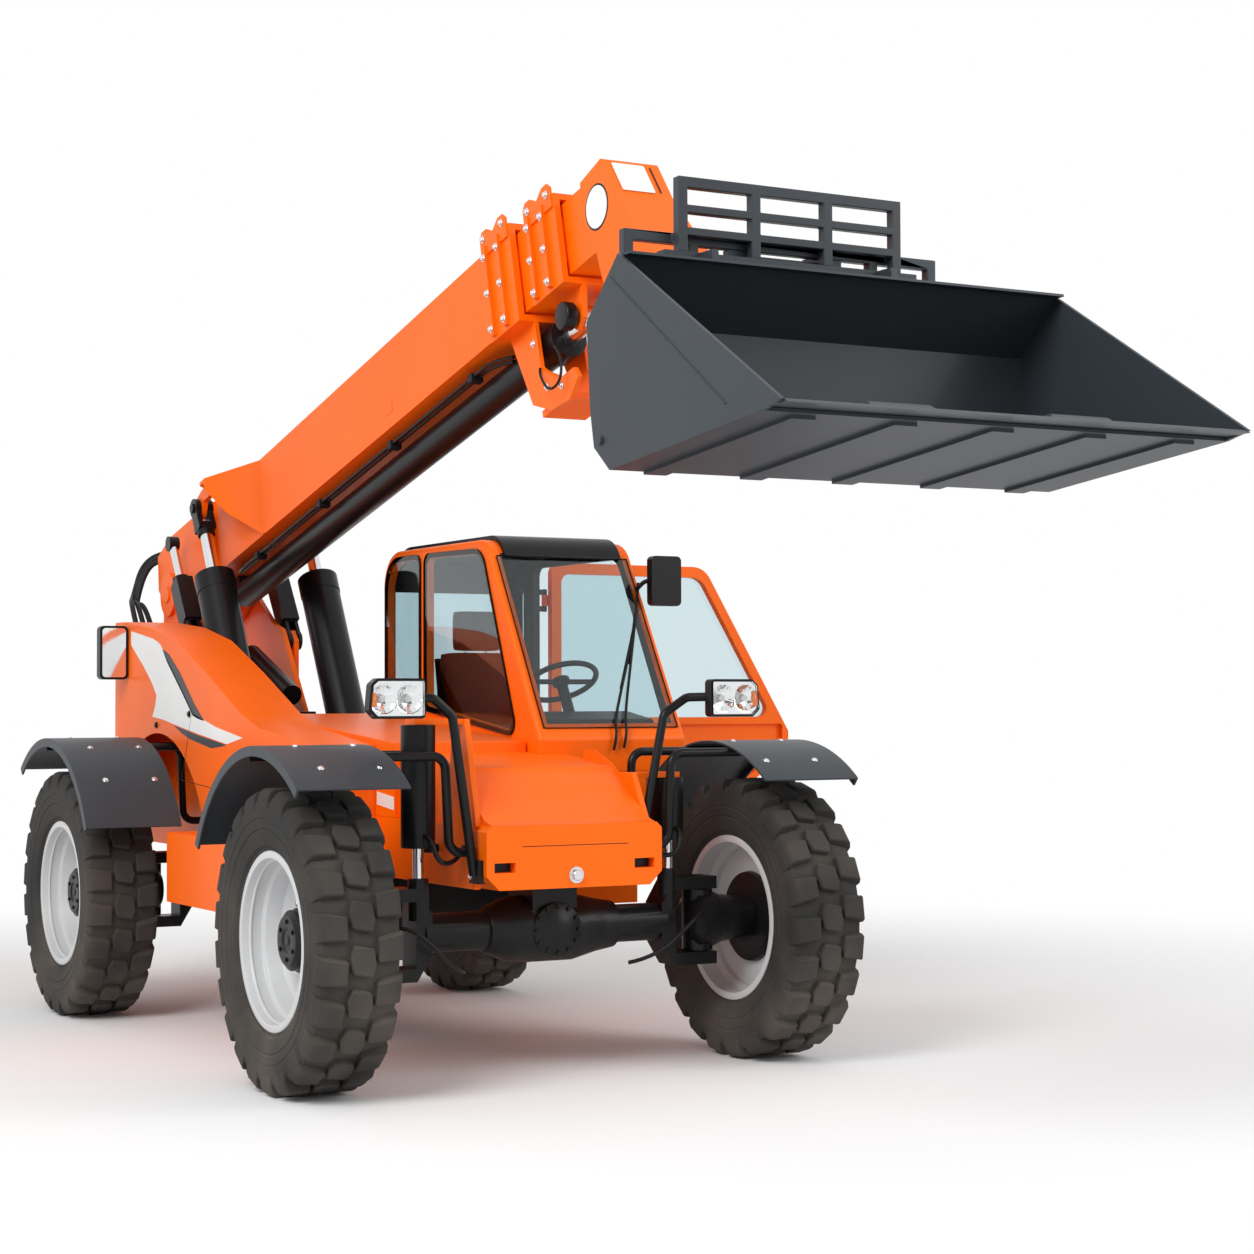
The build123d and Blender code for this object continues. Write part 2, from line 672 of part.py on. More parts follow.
# ---- hydraulic cylinders ----
def make_cylinder(base, eye, radius, rod_radius, eye_radius, width, start, end, retract, rod_short):
    """Barrel and rod between two (x, z) points, in the plane y = 0.

    The barrel runs from start to end. The rod can still slide in by retract, and it
    stops rod_short before the far point."""
    direction = Vector(eye[0] - base[0], 0, eye[1] - base[1])
    length = direction.length
    line = Plane(origin=(base[0], 0, base[1]), x_dir=(0, 1, 0), z_dir=direction)
    grow = (Align.CENTER, Align.CENTER, Align.MIN)
    barrel = Pos(0, 0, start) * Cylinder(radius, end - start, align=grow)
    barrel += Pos(0, 0, end - 110) * Cylinder(radius + 4, 110, align=grow)
    barrel += Rot(0, 90, 0) * Cylinder(eye_radius, width)
    barrel += Box(width, 1.4 * eye_radius, start + 1, align=grow)
    barrel -= Pos(0, 0, start + 40) * Cylinder(rod_radius + running_gap, end, align=grow)
    foot = start + 50 + retract
    stem = Pos(0, 0, foot) * Cylinder(rod_radius, length - foot - rod_short, align=grow)
    return line, barrel, stem, length


def make_lift(sign):
    line, barrel, stem, length = make_cylinder(lift_base, lift_eye, lift_radius, lift_rod_radius, 75, 130,
                                               150, 1440, 240, 115)
    barrel -= Rot(0, 90, 0) * Cylinder(lift_pin_radius + running_gap, 400)
    fork = Pos(0, 0, length - 130) * Box(102, 90, 40)
    fork += Pos(0, 0, length - 160) * Cylinder(50, 40)
    for shift in (-36, 36):
        fork += Pos(shift, 0, length) * Rot(0, 90, 0) * Cylinder(55, 30)
        fork += Pos(shift, 0, length - 70) * Box(30, 80, 140)
        fork += Pos(shift * 1.58, 0, length) * Rot(0, 90, 0) * Cylinder(28, 12)
    offset = Pos(0, sign * lift_y, 0)
    return offset * (line * barrel), offset * (line * (stem + fork))


def make_comp(sign):
    line, _, stem, length = make_cylinder(comp_base, comp_eye, comp_radius, comp_rod_radius, 30, 20, 80,
                                          440, 90, 0)
    grow = (Align.CENTER, Align.CENTER, Align.MIN)
    barrel = Pos(0, 0, 110) * Cylinder(comp_radius, 330, align=grow)
    barrel += Pos(0, 0, 120) * Box(100, 120, 300, align=grow)
    for shift in (-30, 30):
        barrel += Pos(shift, 0, 0) * Rot(0, 90, 0) * Cylinder(55, 20)
        barrel += Pos(shift, 0, 0) * Box(20, 90, 150, align=grow)
    barrel -= Pos(0, 0, 125) * Cylinder(comp_rod_radius + running_gap, 400, align=grow)
    barrel -= Rot(0, 90, 0) * Cylinder(comp_pin_radius + running_gap, 400)
    eye = Pos(0, 0, length) * Rot(0, 90, 0) * Cylinder(45, 60)
    offset = Pos(0, sign * comp_y, 0)
    return offset * (line * barrel), offset * (line * (stem + eye))


lifts = [make_lift(sign) for sign in side_sign.values()]
comps = [make_comp(sign) for sign in side_sign.values()]
parts["lift_barrels"] = grouped([barrel for barrel, _ in lifts])
parts["lift_rods"] = grouped([stem for _, stem in lifts])
parts["compensation_barrels"] = grouped([barrel for barrel, _ in comps])
parts["compensation_rods"] = grouped([stem for _, stem in comps])

line, barrel, stem, tilt_length = make_cylinder(
    tilt_base, tilt_eye, tilt_radius, tilt_rod_radius, 45, 160, 70, 790, 120, 35)
parts["tilt_barrel"] = line * (barrel - Rot(0, 90, 0) * Cylinder(tilt_pin_radius + running_gap, 400))
parts["tilt_rod"] = line * (stem + Pos(0, 0, tilt_length) * Rot(0, 90, 0) * Cylinder(45, 60))


# ---- carriage, backrest and bucket ----
def make_carriage():
    x, z = carriage_pivot
    ear = plate([(x - 70, z - 40), (x - 40, z + 60), (3440, 3330), (3520, 3330), (3520, 2600),
                 (x + 60, 2640),
                 (x - 20, z - 75)], head_half_width + 14, head_half_width + 34)
    post = block((3520, 3560), (head_half_width + 14, head_half_width + 114), (2600, 3315))
    side = ear + post
    upper = block((3560, 3620), (-560, 560), (3180, 3280))
    lower = block((3560, 3620), (-560, 560), (2620, 2720))
    hook = plate([(3620, 2640), (3620, 3280), (3700, 3280), (bucket_back[0] - seat_gap, bucket_back[1]),
                  (bucket_heel[0] - seat_gap, bucket_heel[1]), (3700, 2630)], 380, 410)
    rung = block((3500, 3560), (-head_half_width - 14, head_half_width + 14), (3240, 3300))
    rung_low = block((3500, 3560), (-head_half_width - 14, head_half_width + 14), (2620, 2680))
    tilt_x, tilt_z = tilt_eye
    lever = plate([(tilt_x - 45, tilt_z), (tilt_x, tilt_z + 55), (3500, 3250), (3530, 3250), (3530, 2900),
                   (tilt_x, tilt_z - 45)], 37, 57)
    whole = side + mirrored(side) + upper + lower + hook + mirrored(hook) + rung + rung_low
    whole += lever + mirrored(lever)
    whole += block((3500, 3560), (-57, 57), (3200, 3245))
    bore = cross_pin(x, z, -500, 500, carriage_pin_diameter / 2 + running_gap)
    return whole - bore


def make_backrest():
    lower = block((3520, 3560), (-695, 695), (3316, 3356))
    posts = [block((3520, 3560), (y - 20, y + 20), (3281, 3316)) for y in (-400, 400)]
    ends = [block((3520, 3560), (y - 20, y + 20), (3180, 3316)) for y in (-675, 675)]
    upper = block((3570, 3610), (-495, 495), (3517, 3557))
    mid = block((3570, 3610), (-495, 495), (3425, 3455))
    foot = block((3570, 3610), (-495, 495), (3342, 3372))
    uprights = [block((3570, 3610), (y - 20, y + 20), (3281, 3540)) for y in (-475, -160, 160, 475)]
    link = [block((3540, 3600), (y - 20, y + 20), (3316, 3350)) for y in (-475, 475)]
    return fused([lower, upper, mid, foot] + posts + ends + uprights + link)


def make_bucket():
    outer = [(3980, 3170), bucket_back, bucket_heel, (3807, 2521), (3917, 2434), (4890, 2534)]
    inner = [(4890, 2534 + bucket_plate), (3922, 2434 + bucket_plate), (3819, 2527), (3792, 2652),
             (3768, 2961),
             (3988, 3161)]
    shell = plate(outer + inner, -bucket_half_width, bucket_half_width)
    cheek = plate(outer + [(5000, 2560)],
                  bucket_half_width, bucket_half_width + bucket_side_plate)
    edge = plate([(4780, 2523 + bucket_plate), (4780, 2523 + bucket_plate + 20), (4990, 2562), (5015, 2550),
                  (4890, 2536 + bucket_plate)], -bucket_half_width, bucket_half_width)
    bucket = shell + cheek + mirrored(cheek) + edge
    floor_slope = (2534 - 2434) / (4890 - 3917)
    for y in (-780, -390, 0, 390, 780):
        strip = plate([(3925, 2435), (4860, 2435 + 935 * floor_slope), (4860, 2423 + 935 * floor_slope),
                       (3925, 2423)],
                      y - 45, y + 45)
        bucket += strip
    wedge = plate([(4560, 2510), (4650, 2590), (4800, 2600), (4880, 2548), (4880, 2540), (4560, 2507)],
                  200, 540)
    wedge &= section([(185, 2480), (258, 2620), (483, 2620), (558, 2480)], 4500, 4900)
    lip = plate([(3980, 3170), (3988, 3161), (4035, 3163), (4033, 3173)], -bucket_half_width,
                bucket_half_width)
    return bucket + wedge + mirrored(wedge) + lip


parts["carriage"] = make_carriage()
parts["load_backrest"] = make_backrest()
parts["bucket"] = make_bucket()


# ---- bodywork ----
hood_inner = -frame_half_width - seat_gap
hood_side = -750


def make_hood():
    top = [(-2940, 2110), (-2140, 2107), (-1680, 2065), (-1260, 1984), (-780, 1807), (-265, 1597),
           (-16, 1525),
           (680, 1449)]
    outline = top + [(680, 1000), (-2940, 1000)]
    footprint = plan([(-2940, hood_inner), (-2940, -500), (-2300, hood_side), (680, hood_side),
                      (680, hood_inner)],
                     0, 3000)
    body = plate(outline, hood_side, hood_inner) & footprint
    inside = plate([(x + (12 if x < -2900 else 0), z - 8) for x, z in top] + [(672, 990), (-2928, 990)],
                   hood_side + 8, hood_inner - 8)
    hollow = inside & plan([(-2932, hood_inner - 8), (-2932, -495), (-2298, hood_side + 8),
                            (672, hood_side + 8),
                            (672, hood_inner - 8)], 0, 3000)
    body -= hollow
    for x in axle_x.values():
        body -= cross_pin(x, axle_height, hood_side - 1, hood_inner + 1, fender_radius + fender_gap)
    return body


parts["engine_hood"] = make_hood()
def make_side_box(top):
    """Tank or tool box on the left side, open towards the frame rail."""
    inner = frame_half_width + seat_gap
    shell = block((-side_box_half_length, side_box_half_length), (inner, side_box_outer),
                  (side_box_bottom, top))
    room = block((cover_wall - side_box_half_length, side_box_half_length - cover_wall),
                 (inner - 1, side_box_outer - cover_wall), (side_box_bottom + cover_wall, top - cover_wall))
    return shell - room


parts["side_boxes"] = grouped([
    mirrored(make_side_box(1000 - seat_gap)),
    make_side_box(frame_top),
])
cover_top = axle_height + fender_radius + fender_gap + 75
cover_front = axle_x["rear"] + fender_radius - 130
parts["rear_cover_left"] = plate(
    [(-2700, 1100), (-2700, cover_top - 60), (-2300, cover_top), (cover_front - 40, cover_top),
     (cover_front, cover_top - 60), (cover_front, 1100)], frame_half_width + seat_gap, -hood_side)
parts["rear_cover_left"] -= cross_pin(axle_x["rear"], axle_height, 400, 800, fender_radius + fender_gap)
deck_base = frame_top + seat_gap
parts["engine_deck"] = plate([(-820, deck_base), (-820, 1590), (-700, 1580), (900, 1460), (900, deck_base)],
                             hood_inner + 1, cab_right - 12)
parts["engine_deck"] -= plate(
    [(-820 + cover_wall, deck_base - 1), (-820 + cover_wall, 1590 - cover_wall), (-700, 1580 - cover_wall),
     (900 - cover_wall, 1460 - cover_wall), (900 - cover_wall, deck_base - 1)], hood_inner + 1 + cover_wall,
    cab_right - 12 - cover_wall)
parts["front_cover"] = plate(
    [(901, deck_base), (901, 1410), (1480, 1352), (1500, 1325), (1600, 1270), (1790, 1135),
     (1865, deck_base)],
    -cover_half_width, cover_half_width)
parts["front_cover"] -= plate(
    [(901 + cover_wall, deck_base - 1), (901 + cover_wall, 1400), (1472, 1344), (1493, 1317), (1595, 1262),
     (1785, 1127), (1830, deck_base - 1)], cover_wall - cover_half_width, cover_half_width - cover_wall)
gusset = plate([(1180, 1300), (1200, 1420), (1300, 1425), (1480, 1360), (1600, 1280), (1640, deck_base)],
               cover_half_width - 1, cover_half_width + 1.5)
parts["front_cover"] += gusset + mirrored(gusset)
parts["engine_block"] = block((-2500, -1600), (-tower_inner + 15, tower_inner - 15),
                              (frame_bottom + frame_plate + seat_gap, 1600))


# ---- cab ----
cab_floor = frame_top + seat_gap
door_hinge_y = cab_left + door_gap + door_thickness + 10
hinge_heights = (1320, 2200)
pillar_foot = (1020, 1470)
pillar_head = (430, roof_height)
cab_corners = [
    (cab_rear, cab_floor, 40), (640, cab_floor, 40), (1005, 1300, 40), (*pillar_foot, 40),
    (*pillar_head, 150), (cab_rear, roof_height, 190),
]


def cab_slice(grow_by, y_from, y_to):
    """The cab's side profile, grown outward or shrunk, between two sides y."""
    points = [(x, 0, z) for x, z, _ in cab_corners]
    wire = FilletPolyline(*points, radius=[radius for _, _, radius in cab_corners], close=True)
    face = make_face(wire)
    if grow_by:
        face = offset(face, amount=grow_by)
    slab = extrude(face, y_to - y_from, dir=(0, 1, 0))
    return slab.moved(Location((0, y_from, 0)))


def make_cab():
    shell = cab_slice(0, cab_right, cab_left)
    side_edges = shell.faces().filter_by(Axis.Y).edges()
    shell = fillet(side_edges, cab_edge_radius)
    shell -= cab_slice(-cab_wall, cab_right + cab_wall, cab_left - cab_wall)
    windscreen = plate([(860, 1540), (1100, 1540), (600, 2380), (360, 2380)], cab_right + cab_post,
                       cab_left - cab_post)
    rear_window = rounded_plate(
        [(cab_rear - 50, 1560, 5), (cab_rear + 80, 1560, 5), (cab_rear + 80, 2240, 5),
         (cab_rear - 50, 2240, 5)],
        cab_right + cab_post, cab_left - cab_post)
    through_right = (cab_right - 50, cab_right + cab_wall + 1)
    through_left = (cab_left - cab_wall - 1, cab_left + 50)
    front_window = rounded_plate([(-245, 1630, 30), (770, 1498, 50), (400, 2380, 120), (-245, 2390, 50)],
                                 *through_right)
    rear_side_window = rounded_plate([(-745, 1640, 30), (-350, 1640, 30), (-350, 2390, 40),
                                      (-745, 2390, 160)],
                                     *through_right)
    doorway = rounded_plate([(-540, 1200, 40), (600, 1200, 60), (885, 1400, 40), (890, 1500, 20),
                             (390, 2370, 120),
                             (-540, 2370, 50)], *through_left)
    quarter = rounded_plate([(-745, 1530, 30), (-655, 1530, 30), (-655, 2330, 30), (-745, 2240, 60)],
                            *through_left)
    cab = shell - windscreen - rear_window - front_window - rear_side_window - doorway - quarter
    cab += block((985, 1000), (cover_half_width + 5, fender_inner_y - 13), (cab_floor + 5, 1360))
    for height in hinge_heights:
        cab += rod((door_hinge_x, door_hinge_y, height - 62), (door_hinge_x, door_hinge_y, height + 62), 9)
        for z in ((height - 60, height - 31), (height + 31, height + 60)):
            cab += block((door_hinge_x - 30, door_hinge_x + 10), (cab_left - 5, door_hinge_y + 9), z)
    return cab


roof_sides = (cab_right + 75, cab_left - 75)
parts["cab_shell"] = make_cab()
parts["front_cover"] -= cab_slice(seat_gap, cab_right - seat_gap, cover_half_width + 10)
parts["cab_roof"] = cab_slice(roof_thickness, *roof_sides) - cab_slice(seat_gap, *roof_sides)
parts["cab_roof"] &= block((-720, 620), roof_sides, (2366, roof_height + 2 * roof_thickness))
normal = Vector(pillar_head[1] - pillar_foot[1], 0, pillar_foot[0] - pillar_head[0]).normalized()


def on_pillar(share):
    """Point part of the way up the front of the cab."""
    return Vector(pillar_foot[0] + share * (pillar_head[0] - pillar_foot[0]), 0,
                  pillar_foot[1] + share * (pillar_head[1] - pillar_foot[1]))


def pane(start, end, y_from, y_to):
    """Sheet of glass on the front of the cab, from one height to another."""
    shift = normal * glass_thickness
    return plate([(start.X, start.Z), (end.X, end.Z), (end.X + shift.X, end.Z + shift.Z),
                  (start.X + shift.X, start.Z + shift.Z)], y_from, y_to)


parts["windscreen"] = pane(on_pillar(0.05), on_pillar(0.91), cab_right + 35, cab_left - 35)
on_right = (cab_right - glass_thickness, cab_right)
parts["side_glass"] = grouped([
    rounded_plate([(-272, 1605, 45), (800, 1475, 60), (412, 2405, 135), (-272, 2415, 60)], *on_right),
    rounded_plate([(-772, 1615, 45), (-322, 1615, 45), (-322, 2415, 55), (-772, 2415, 175)], *on_right),
    rounded_plate([(-765, 1510, 40), (-638, 1510, 30), (-638, 2350, 40), (-765, 2260, 70)],
                  cab_left, cab_left + glass_thickness),
    block((cab_rear - glass_thickness, cab_rear), (cab_right + 45, cab_left - 45), (1545, 2250)),
])
cab_middle = (cab_right + cab_left) / 2
parts["seat"] = fused([
    block((-470, 30), (cab_middle - 240, cab_middle + 240), (1400, 1500)),
    plate([(-470, 1480), (-560, 1900), (-480, 1930), (-360, 1500)], cab_middle - 220, cab_middle + 220),
])
parts["seat_base"] = block((-400, 0), (cab_middle - 200, cab_middle + 200),
                           (cab_floor + cab_wall, 1400 - seat_gap))
parts["dashboard"] = plate([(480, cab_floor + cab_wall + seat_gap),
                            (590, cab_floor + cab_wall + seat_gap), (640, 1355), (900, 1480), (860,
                                    1560), (600, 1600),
                            (520, 1520)], cab_right + 90, cab_left - 90)
wheel_plane = Plane(origin=(470, cab_middle, 1745), x_dir=(0, 1, 0), z_dir=(-0.5, 0, 0.86))
steering_rim = wheel_plane * (Torus(180, 14) + Cylinder(45, 24) + Box(350, 30, 12))
steering_stem = rod((472, cab_middle, 1742), (600, cab_middle, 1525), 28) - parts["dashboard"]
parts["steering_wheel"] = steering_rim + steering_stem


# ---- door, standing open at a right angle to the cab ----
def make_door():
    """Closed door on the cab's left side, in the machine's frame."""
    y_low = cab_left + door_gap
    y_high = y_low + door_thickness
    frame = rounded_plate([(-585, 1160, 40), (640, 1160, 60), (940, 1345, 50), (945, 1478, 40),
                           (385, 2405, 130),
                           (-585, 2405, 60)], y_low, y_high)
    opening = rounded_plate([(-525, 1560, 50), (835, 1560, 50), (362, 2345, 105), (-525, 2345, 50)],
                            y_low - 1, y_high + 1)
    panel = rounded_plate([(-550, 1195, 20), (625, 1195, 40), (900, 1365, 30), (905, 1520, 20),
                           (-550, 1520, 20)],
                          y_low - 1, y_low + 30)
    frame = frame - opening - panel
    for height in hinge_heights:
        sleeve = rod((door_hinge_x, door_hinge_y, height - 30), (door_hinge_x, door_hinge_y, height + 30),
                     17)
        strap = block((door_hinge_x, door_hinge_x + 60), (y_high - 1, door_hinge_y + 6),
                      (height - 30, height + 30))
        bore = rod((door_hinge_x, door_hinge_y, height - 31), (door_hinge_x, door_hinge_y, height + 31),
                   9 + running_gap)
        frame = frame + sleeve + strap - bore
    return frame, rounded_plate([(-540, 1545, 60), (862, 1545, 60), (370, 2360, 115), (-540, 2360, 60)],
                                y_high, y_high + glass_thickness)


closed_frame, closed_glass = make_door()
hinge_line = Axis((door_hinge_x, door_hinge_y, 0), (0, 0, 1))
parts["door_frame"] = closed_frame.rotate(hinge_line, door_closing_angle)
parts["door_glass"] = closed_glass.rotate(hinge_line, door_closing_angle)

# ---- lamps, mirrors, levelling cylinders and muffler ----
def make_lamp(side):
    """Head lamp on the left side: a housing with its bracket tube, and the lens in its mouth."""
    x, y, z = lamp_centre
    face = Plane(origin=(x, y, z), x_dir=(0, 1, 0), z_dir=(1, 0, 0))
    corners = [(-130, -85), (95, -85), (130, -50), (120, 60), (90, 85), (-130, 85)]
    profile = make_face(FilletPolyline(*corners, radius=20, close=True))
    mouth = offset(profile, amount=-lamp_wall)
    body = extrude(face * profile, -lamp_depth) + Pos(-lamp_depth, 0, 0) * extrude(face * profile, -60,
            taper=35)
    body -= extrude(face * mouth, -(lamp_depth - lamp_wall))
    lens = extrude(Pos(-5, 0, 0) * (face * offset(profile, amount=-lamp_wall - seat_gap)), 12)
    if side == "right":
        points = [(1795, 455, 905), (1795, 486, 1130), (1790, 552, 1585), (1785, 640, 1662),
                  (1778, 760, 1664)]
    else:
        points = [(1684, 455, 905), (1684, 458, 1145), (1684, 550, 1590), (1700, 660, 1664),
                  (1770, 760, 1666)]
    tube = bent_tube(points, lamp_tube_radius, 45)
    foot = block((points[0][0] - 45, points[0][0] + 45), (frame_half_width + seat_gap, points[0][1]),
                 (870, 970))
    return body + tube + foot, lens


right_lamp, right_lens = make_lamp("right")
left_lamp, left_lens = make_lamp("left")
parts["head_lamps"] = grouped([mirrored(right_lamp), left_lamp])
parts["lamp_lenses"] = grouped([mirrored(right_lens), left_lens])


def make_mirror(centre, width, height, depth):
    """Rounded mirror housing facing forward."""
    x, y, z = centre
    face = Plane(origin=(x, y, z), x_dir=(0, 1, 0), z_dir=(1, 0, 0))
    return extrude(face * RectangleRounded(width, height, 25), -depth)


pillar_side = on_pillar(0.76)
left_arm = bent_tube([(pillar_side.X - 30, cab_left - 18, pillar_side.Z - 15), (640, cab_left - 18, 2245),
                      (640, 1110, 2262)], mirror_arm_radius, 20) - parts["cab_shell"]
left_mirror = make_mirror((680, 1150, 2250), 170, 250, 50) + left_arm
right_arm = rod((-2080, hood_side, 1990), (-2080, hood_side - 40, 1990), mirror_arm_radius)
right_mirror = make_mirror((-2050, hood_side - 86, 1932), 160, 300, 60) + right_arm
parts["mirrors"] = grouped([left_mirror, right_mirror])


def make_sway(side):
    """Levelling cylinder on the left side of the front axle: barrel and rod."""
    top = sway_tops[side]
    barrel = rod((sway_x, sway_y, sway_low), (sway_x, sway_y, top), sway_radius)
    barrel -= rod((sway_x, sway_y, sway_low - 1), (sway_x, sway_y, top - 40), sway_rod_radius + running_gap)
    stem = rod((sway_x, sway_y, sway_foot + seat_gap), (sway_x, sway_y, top - 60), sway_rod_radius)
    return barrel, stem


left_barrel, left_stem = make_sway("left")
right_barrel, right_stem = make_sway("right")
parts["sway_barrels"] = grouped([left_barrel, mirrored(right_barrel)])
parts["sway_rods"] = grouped([left_stem, mirrored(right_stem)])
muffler = rod((-2257, 50, 1930), (-1617, 50, 1690), muffler_radius)
parts["exhaust"] = muffler + rod((-1850, 50, 1600 + seat_gap), (-1850, 50, 1770), 35)

os.makedirs("parts", exist_ok=True)
for name, shape in parts.items():
    export_step(shape.moved(Location((0, 0, -ground_clearance))), f"parts/{name}.step")
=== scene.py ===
import json
import math

import bmesh
import bpy
from mathutils import Matrix, Vector


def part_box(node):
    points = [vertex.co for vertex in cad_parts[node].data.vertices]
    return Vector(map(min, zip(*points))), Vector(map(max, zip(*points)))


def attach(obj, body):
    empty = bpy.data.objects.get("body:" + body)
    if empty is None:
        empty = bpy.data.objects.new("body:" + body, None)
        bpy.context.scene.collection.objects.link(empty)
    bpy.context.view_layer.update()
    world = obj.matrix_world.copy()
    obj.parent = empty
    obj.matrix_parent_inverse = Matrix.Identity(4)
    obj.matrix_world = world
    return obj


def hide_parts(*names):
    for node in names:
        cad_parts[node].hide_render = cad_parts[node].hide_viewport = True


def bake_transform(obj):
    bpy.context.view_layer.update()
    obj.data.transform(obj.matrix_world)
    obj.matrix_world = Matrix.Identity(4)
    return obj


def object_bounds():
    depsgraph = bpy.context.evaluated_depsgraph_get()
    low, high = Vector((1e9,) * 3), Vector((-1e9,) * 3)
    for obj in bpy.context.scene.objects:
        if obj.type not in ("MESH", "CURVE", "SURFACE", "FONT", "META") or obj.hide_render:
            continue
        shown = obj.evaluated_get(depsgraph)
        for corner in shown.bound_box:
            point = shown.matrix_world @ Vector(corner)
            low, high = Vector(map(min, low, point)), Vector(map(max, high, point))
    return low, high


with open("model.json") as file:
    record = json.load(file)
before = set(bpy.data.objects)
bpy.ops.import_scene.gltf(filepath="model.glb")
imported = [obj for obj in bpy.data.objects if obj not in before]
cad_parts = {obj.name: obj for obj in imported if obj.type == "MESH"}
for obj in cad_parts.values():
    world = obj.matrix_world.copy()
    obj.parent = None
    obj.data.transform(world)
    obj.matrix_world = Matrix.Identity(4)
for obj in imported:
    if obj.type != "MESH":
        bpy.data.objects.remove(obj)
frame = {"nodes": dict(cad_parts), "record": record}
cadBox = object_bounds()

nodes = frame["nodes"]
groundZ = cadBox[0][2]
sides = ((-1, "right"), (1, "left"))
wheelEnds = ("front_left", "front_right", "rear_left", "rear_right")

cameraLook = {
    "place": (11.177, -4.945, 1.18),
    "heading": 60.80,   # degrees from +Y towards -X
    "pitch": 1.84,
    "roll": -0.20,
    "lens": 69.65,
    "sensor": 36.0,
}

studioLook = {
    "floorRadius": 26.0,
    "floorColour": (0.93, 0.93, 0.93),
    "floorFade": (3.2, 9.0),
    "worldLevel": 0.62,
    "keyPlace": (7.5, -9.5, 9.0),
    "keyAim": (0.0, 0.0, 1.0),
    "keyPower": 1150.0,
    "fillPlace": (9.0, 8.0, 6.0),
    "fillAim": (1.0, 0.0, 1.0),
    "fillPower": 420.0,
    "lampSize": 7.0,
}


def viewAxes(look):
    heading, pitch, roll = (math.radians(look[k]) for k in ("heading", "pitch", "roll"))
    forward = Vector((-math.sin(heading) * math.cos(pitch), math.cos(heading) * math.cos(pitch),
                      math.sin(pitch)))
    level = Vector((math.cos(heading), math.sin(heading), 0.0))
    upright = level.cross(forward)
    right = level * math.cos(roll) + upright * math.sin(roll)
    up = -level * math.sin(roll) + upright * math.cos(roll)
    return right, up, forward


def toMesh(shape, name):
    mesh = bpy.data.meshes.new(name)
    shape.to_mesh(mesh)
    shape.free()
    return mesh


def newObject(name, data):
    thing = bpy.data.objects.new(name, data)
    bpy.context.scene.collection.objects.link(thing)
    return thing


def makeCamera(look):
    right, up, forward = viewAxes(look)
    data = bpy.data.cameras.new("photoView")
    data.lens = look["lens"]
    data.sensor_width = look["sensor"]
    data.clip_end = 200.0
    camera = newObject("photoView", data)
    turn = Matrix((right, up, -forward)).transposed().to_4x4()
    camera.matrix_world = Matrix.Translation(look["place"]) @ turn
    bpy.context.scene.camera = camera


def areaLamp(name, place, aim, power, size):
    data = bpy.data.lights.new(name, "AREA")
    data.energy = power
    data.shape = "DISK"
    data.size = size
    lamp = newObject(name, data)
    lamp.location = place
    lamp.rotation_euler = (Vector(aim) - Vector(place)).to_track_quat("-Z", "Y").to_euler()


def newMaterial(name):
    material = bpy.data.materials.new(name)
    material.use_nodes = True
    return material, material.node_tree.nodes, material.node_tree.links


def setSockets(node, values):
    for socket, value in values.items():
        node.inputs[socket].default_value = value


def addNode(made, kind, values=None, **settings):
    # a node with its settings, then the numbers on its sockets
    node = made.new(kind)
    for label, value in settings.items():
        setattr(node, label, value)
    setSockets(node, values or {})
    return node


def wire(links, *pairs):
    # each row is a node and its output, then a node and its input
    for start, given, end, taken in pairs:
        links.new(start.outputs[given], end.inputs[taken])


def makeWorld(look):
    # white where the camera, a reflection or the glass sees it, dimmer as a light
    world = bpy.data.worlds.new("studio")
    bpy.context.scene.world = world
    world.use_nodes = True
    made = world.node_tree.nodes
    background = made["Background"]
    setSockets(background, {"Color": (1.0, 1.0, 1.0, 1.0)})
    path = made.new("ShaderNodeLightPath")
    seen = addNode(made, "ShaderNodeMath", operation="MAXIMUM")
    either = addNode(made, "ShaderNodeMath", operation="MAXIMUM")
    level = addNode(made, "ShaderNodeMapRange", {"To Min": look["worldLevel"], "To Max": 1.0})
    wire(world.node_tree.links,
         (path, "Is Camera Ray", seen, 0), (path, "Is Glossy Ray", seen, 1), (seen, 0, either, 0),
         (path, "Is Transmission Ray", either, 1), (either, 0, level, "Value"),
         (level, "Result", background, "Strength"))


def makeFloor(look):
    # a disc that fades out, so only the shadow near the machine shows
    shape = bmesh.new()
    bmesh.ops.create_circle(shape, cap_ends=True, radius=look["floorRadius"], segments=96)
    mesh = toMesh(shape, "studioFloor")
    floor = newObject("studioFloor", mesh)
    floor.location.z = groundZ
    material, made, links = newMaterial("studioFloor")
    mesh.materials.append(material)
    paint = made["Principled BSDF"]
    setSockets(paint, {"Base Color": (*look["floorColour"], 1.0), "Roughness": 0.9,
                       "Specular IOR Level": 0.0})
    clear = made.new("ShaderNodeBsdfTransparent")
    mix = made.new("ShaderNodeMixShader")
    place = made.new("ShaderNodeTexCoord")
    distance = addNode(made, "ShaderNodeVectorMath", operation="LENGTH")
    near, far = look["floorFade"]
    fade = addNode(made, "ShaderNodeMapRange", {"From Min": near, "From Max": far},
                   interpolation_type="SMOOTHSTEP")
    wire(links,
         (place, "Object", distance, 0), (distance, "Value", fade, "Value"),
         (fade, "Result", mix, "Fac"), (paint, "BSDF", mix, 1), (clear, "BSDF", mix, 2),
         (mix, "Shader", made["Material Output"], "Surface"))


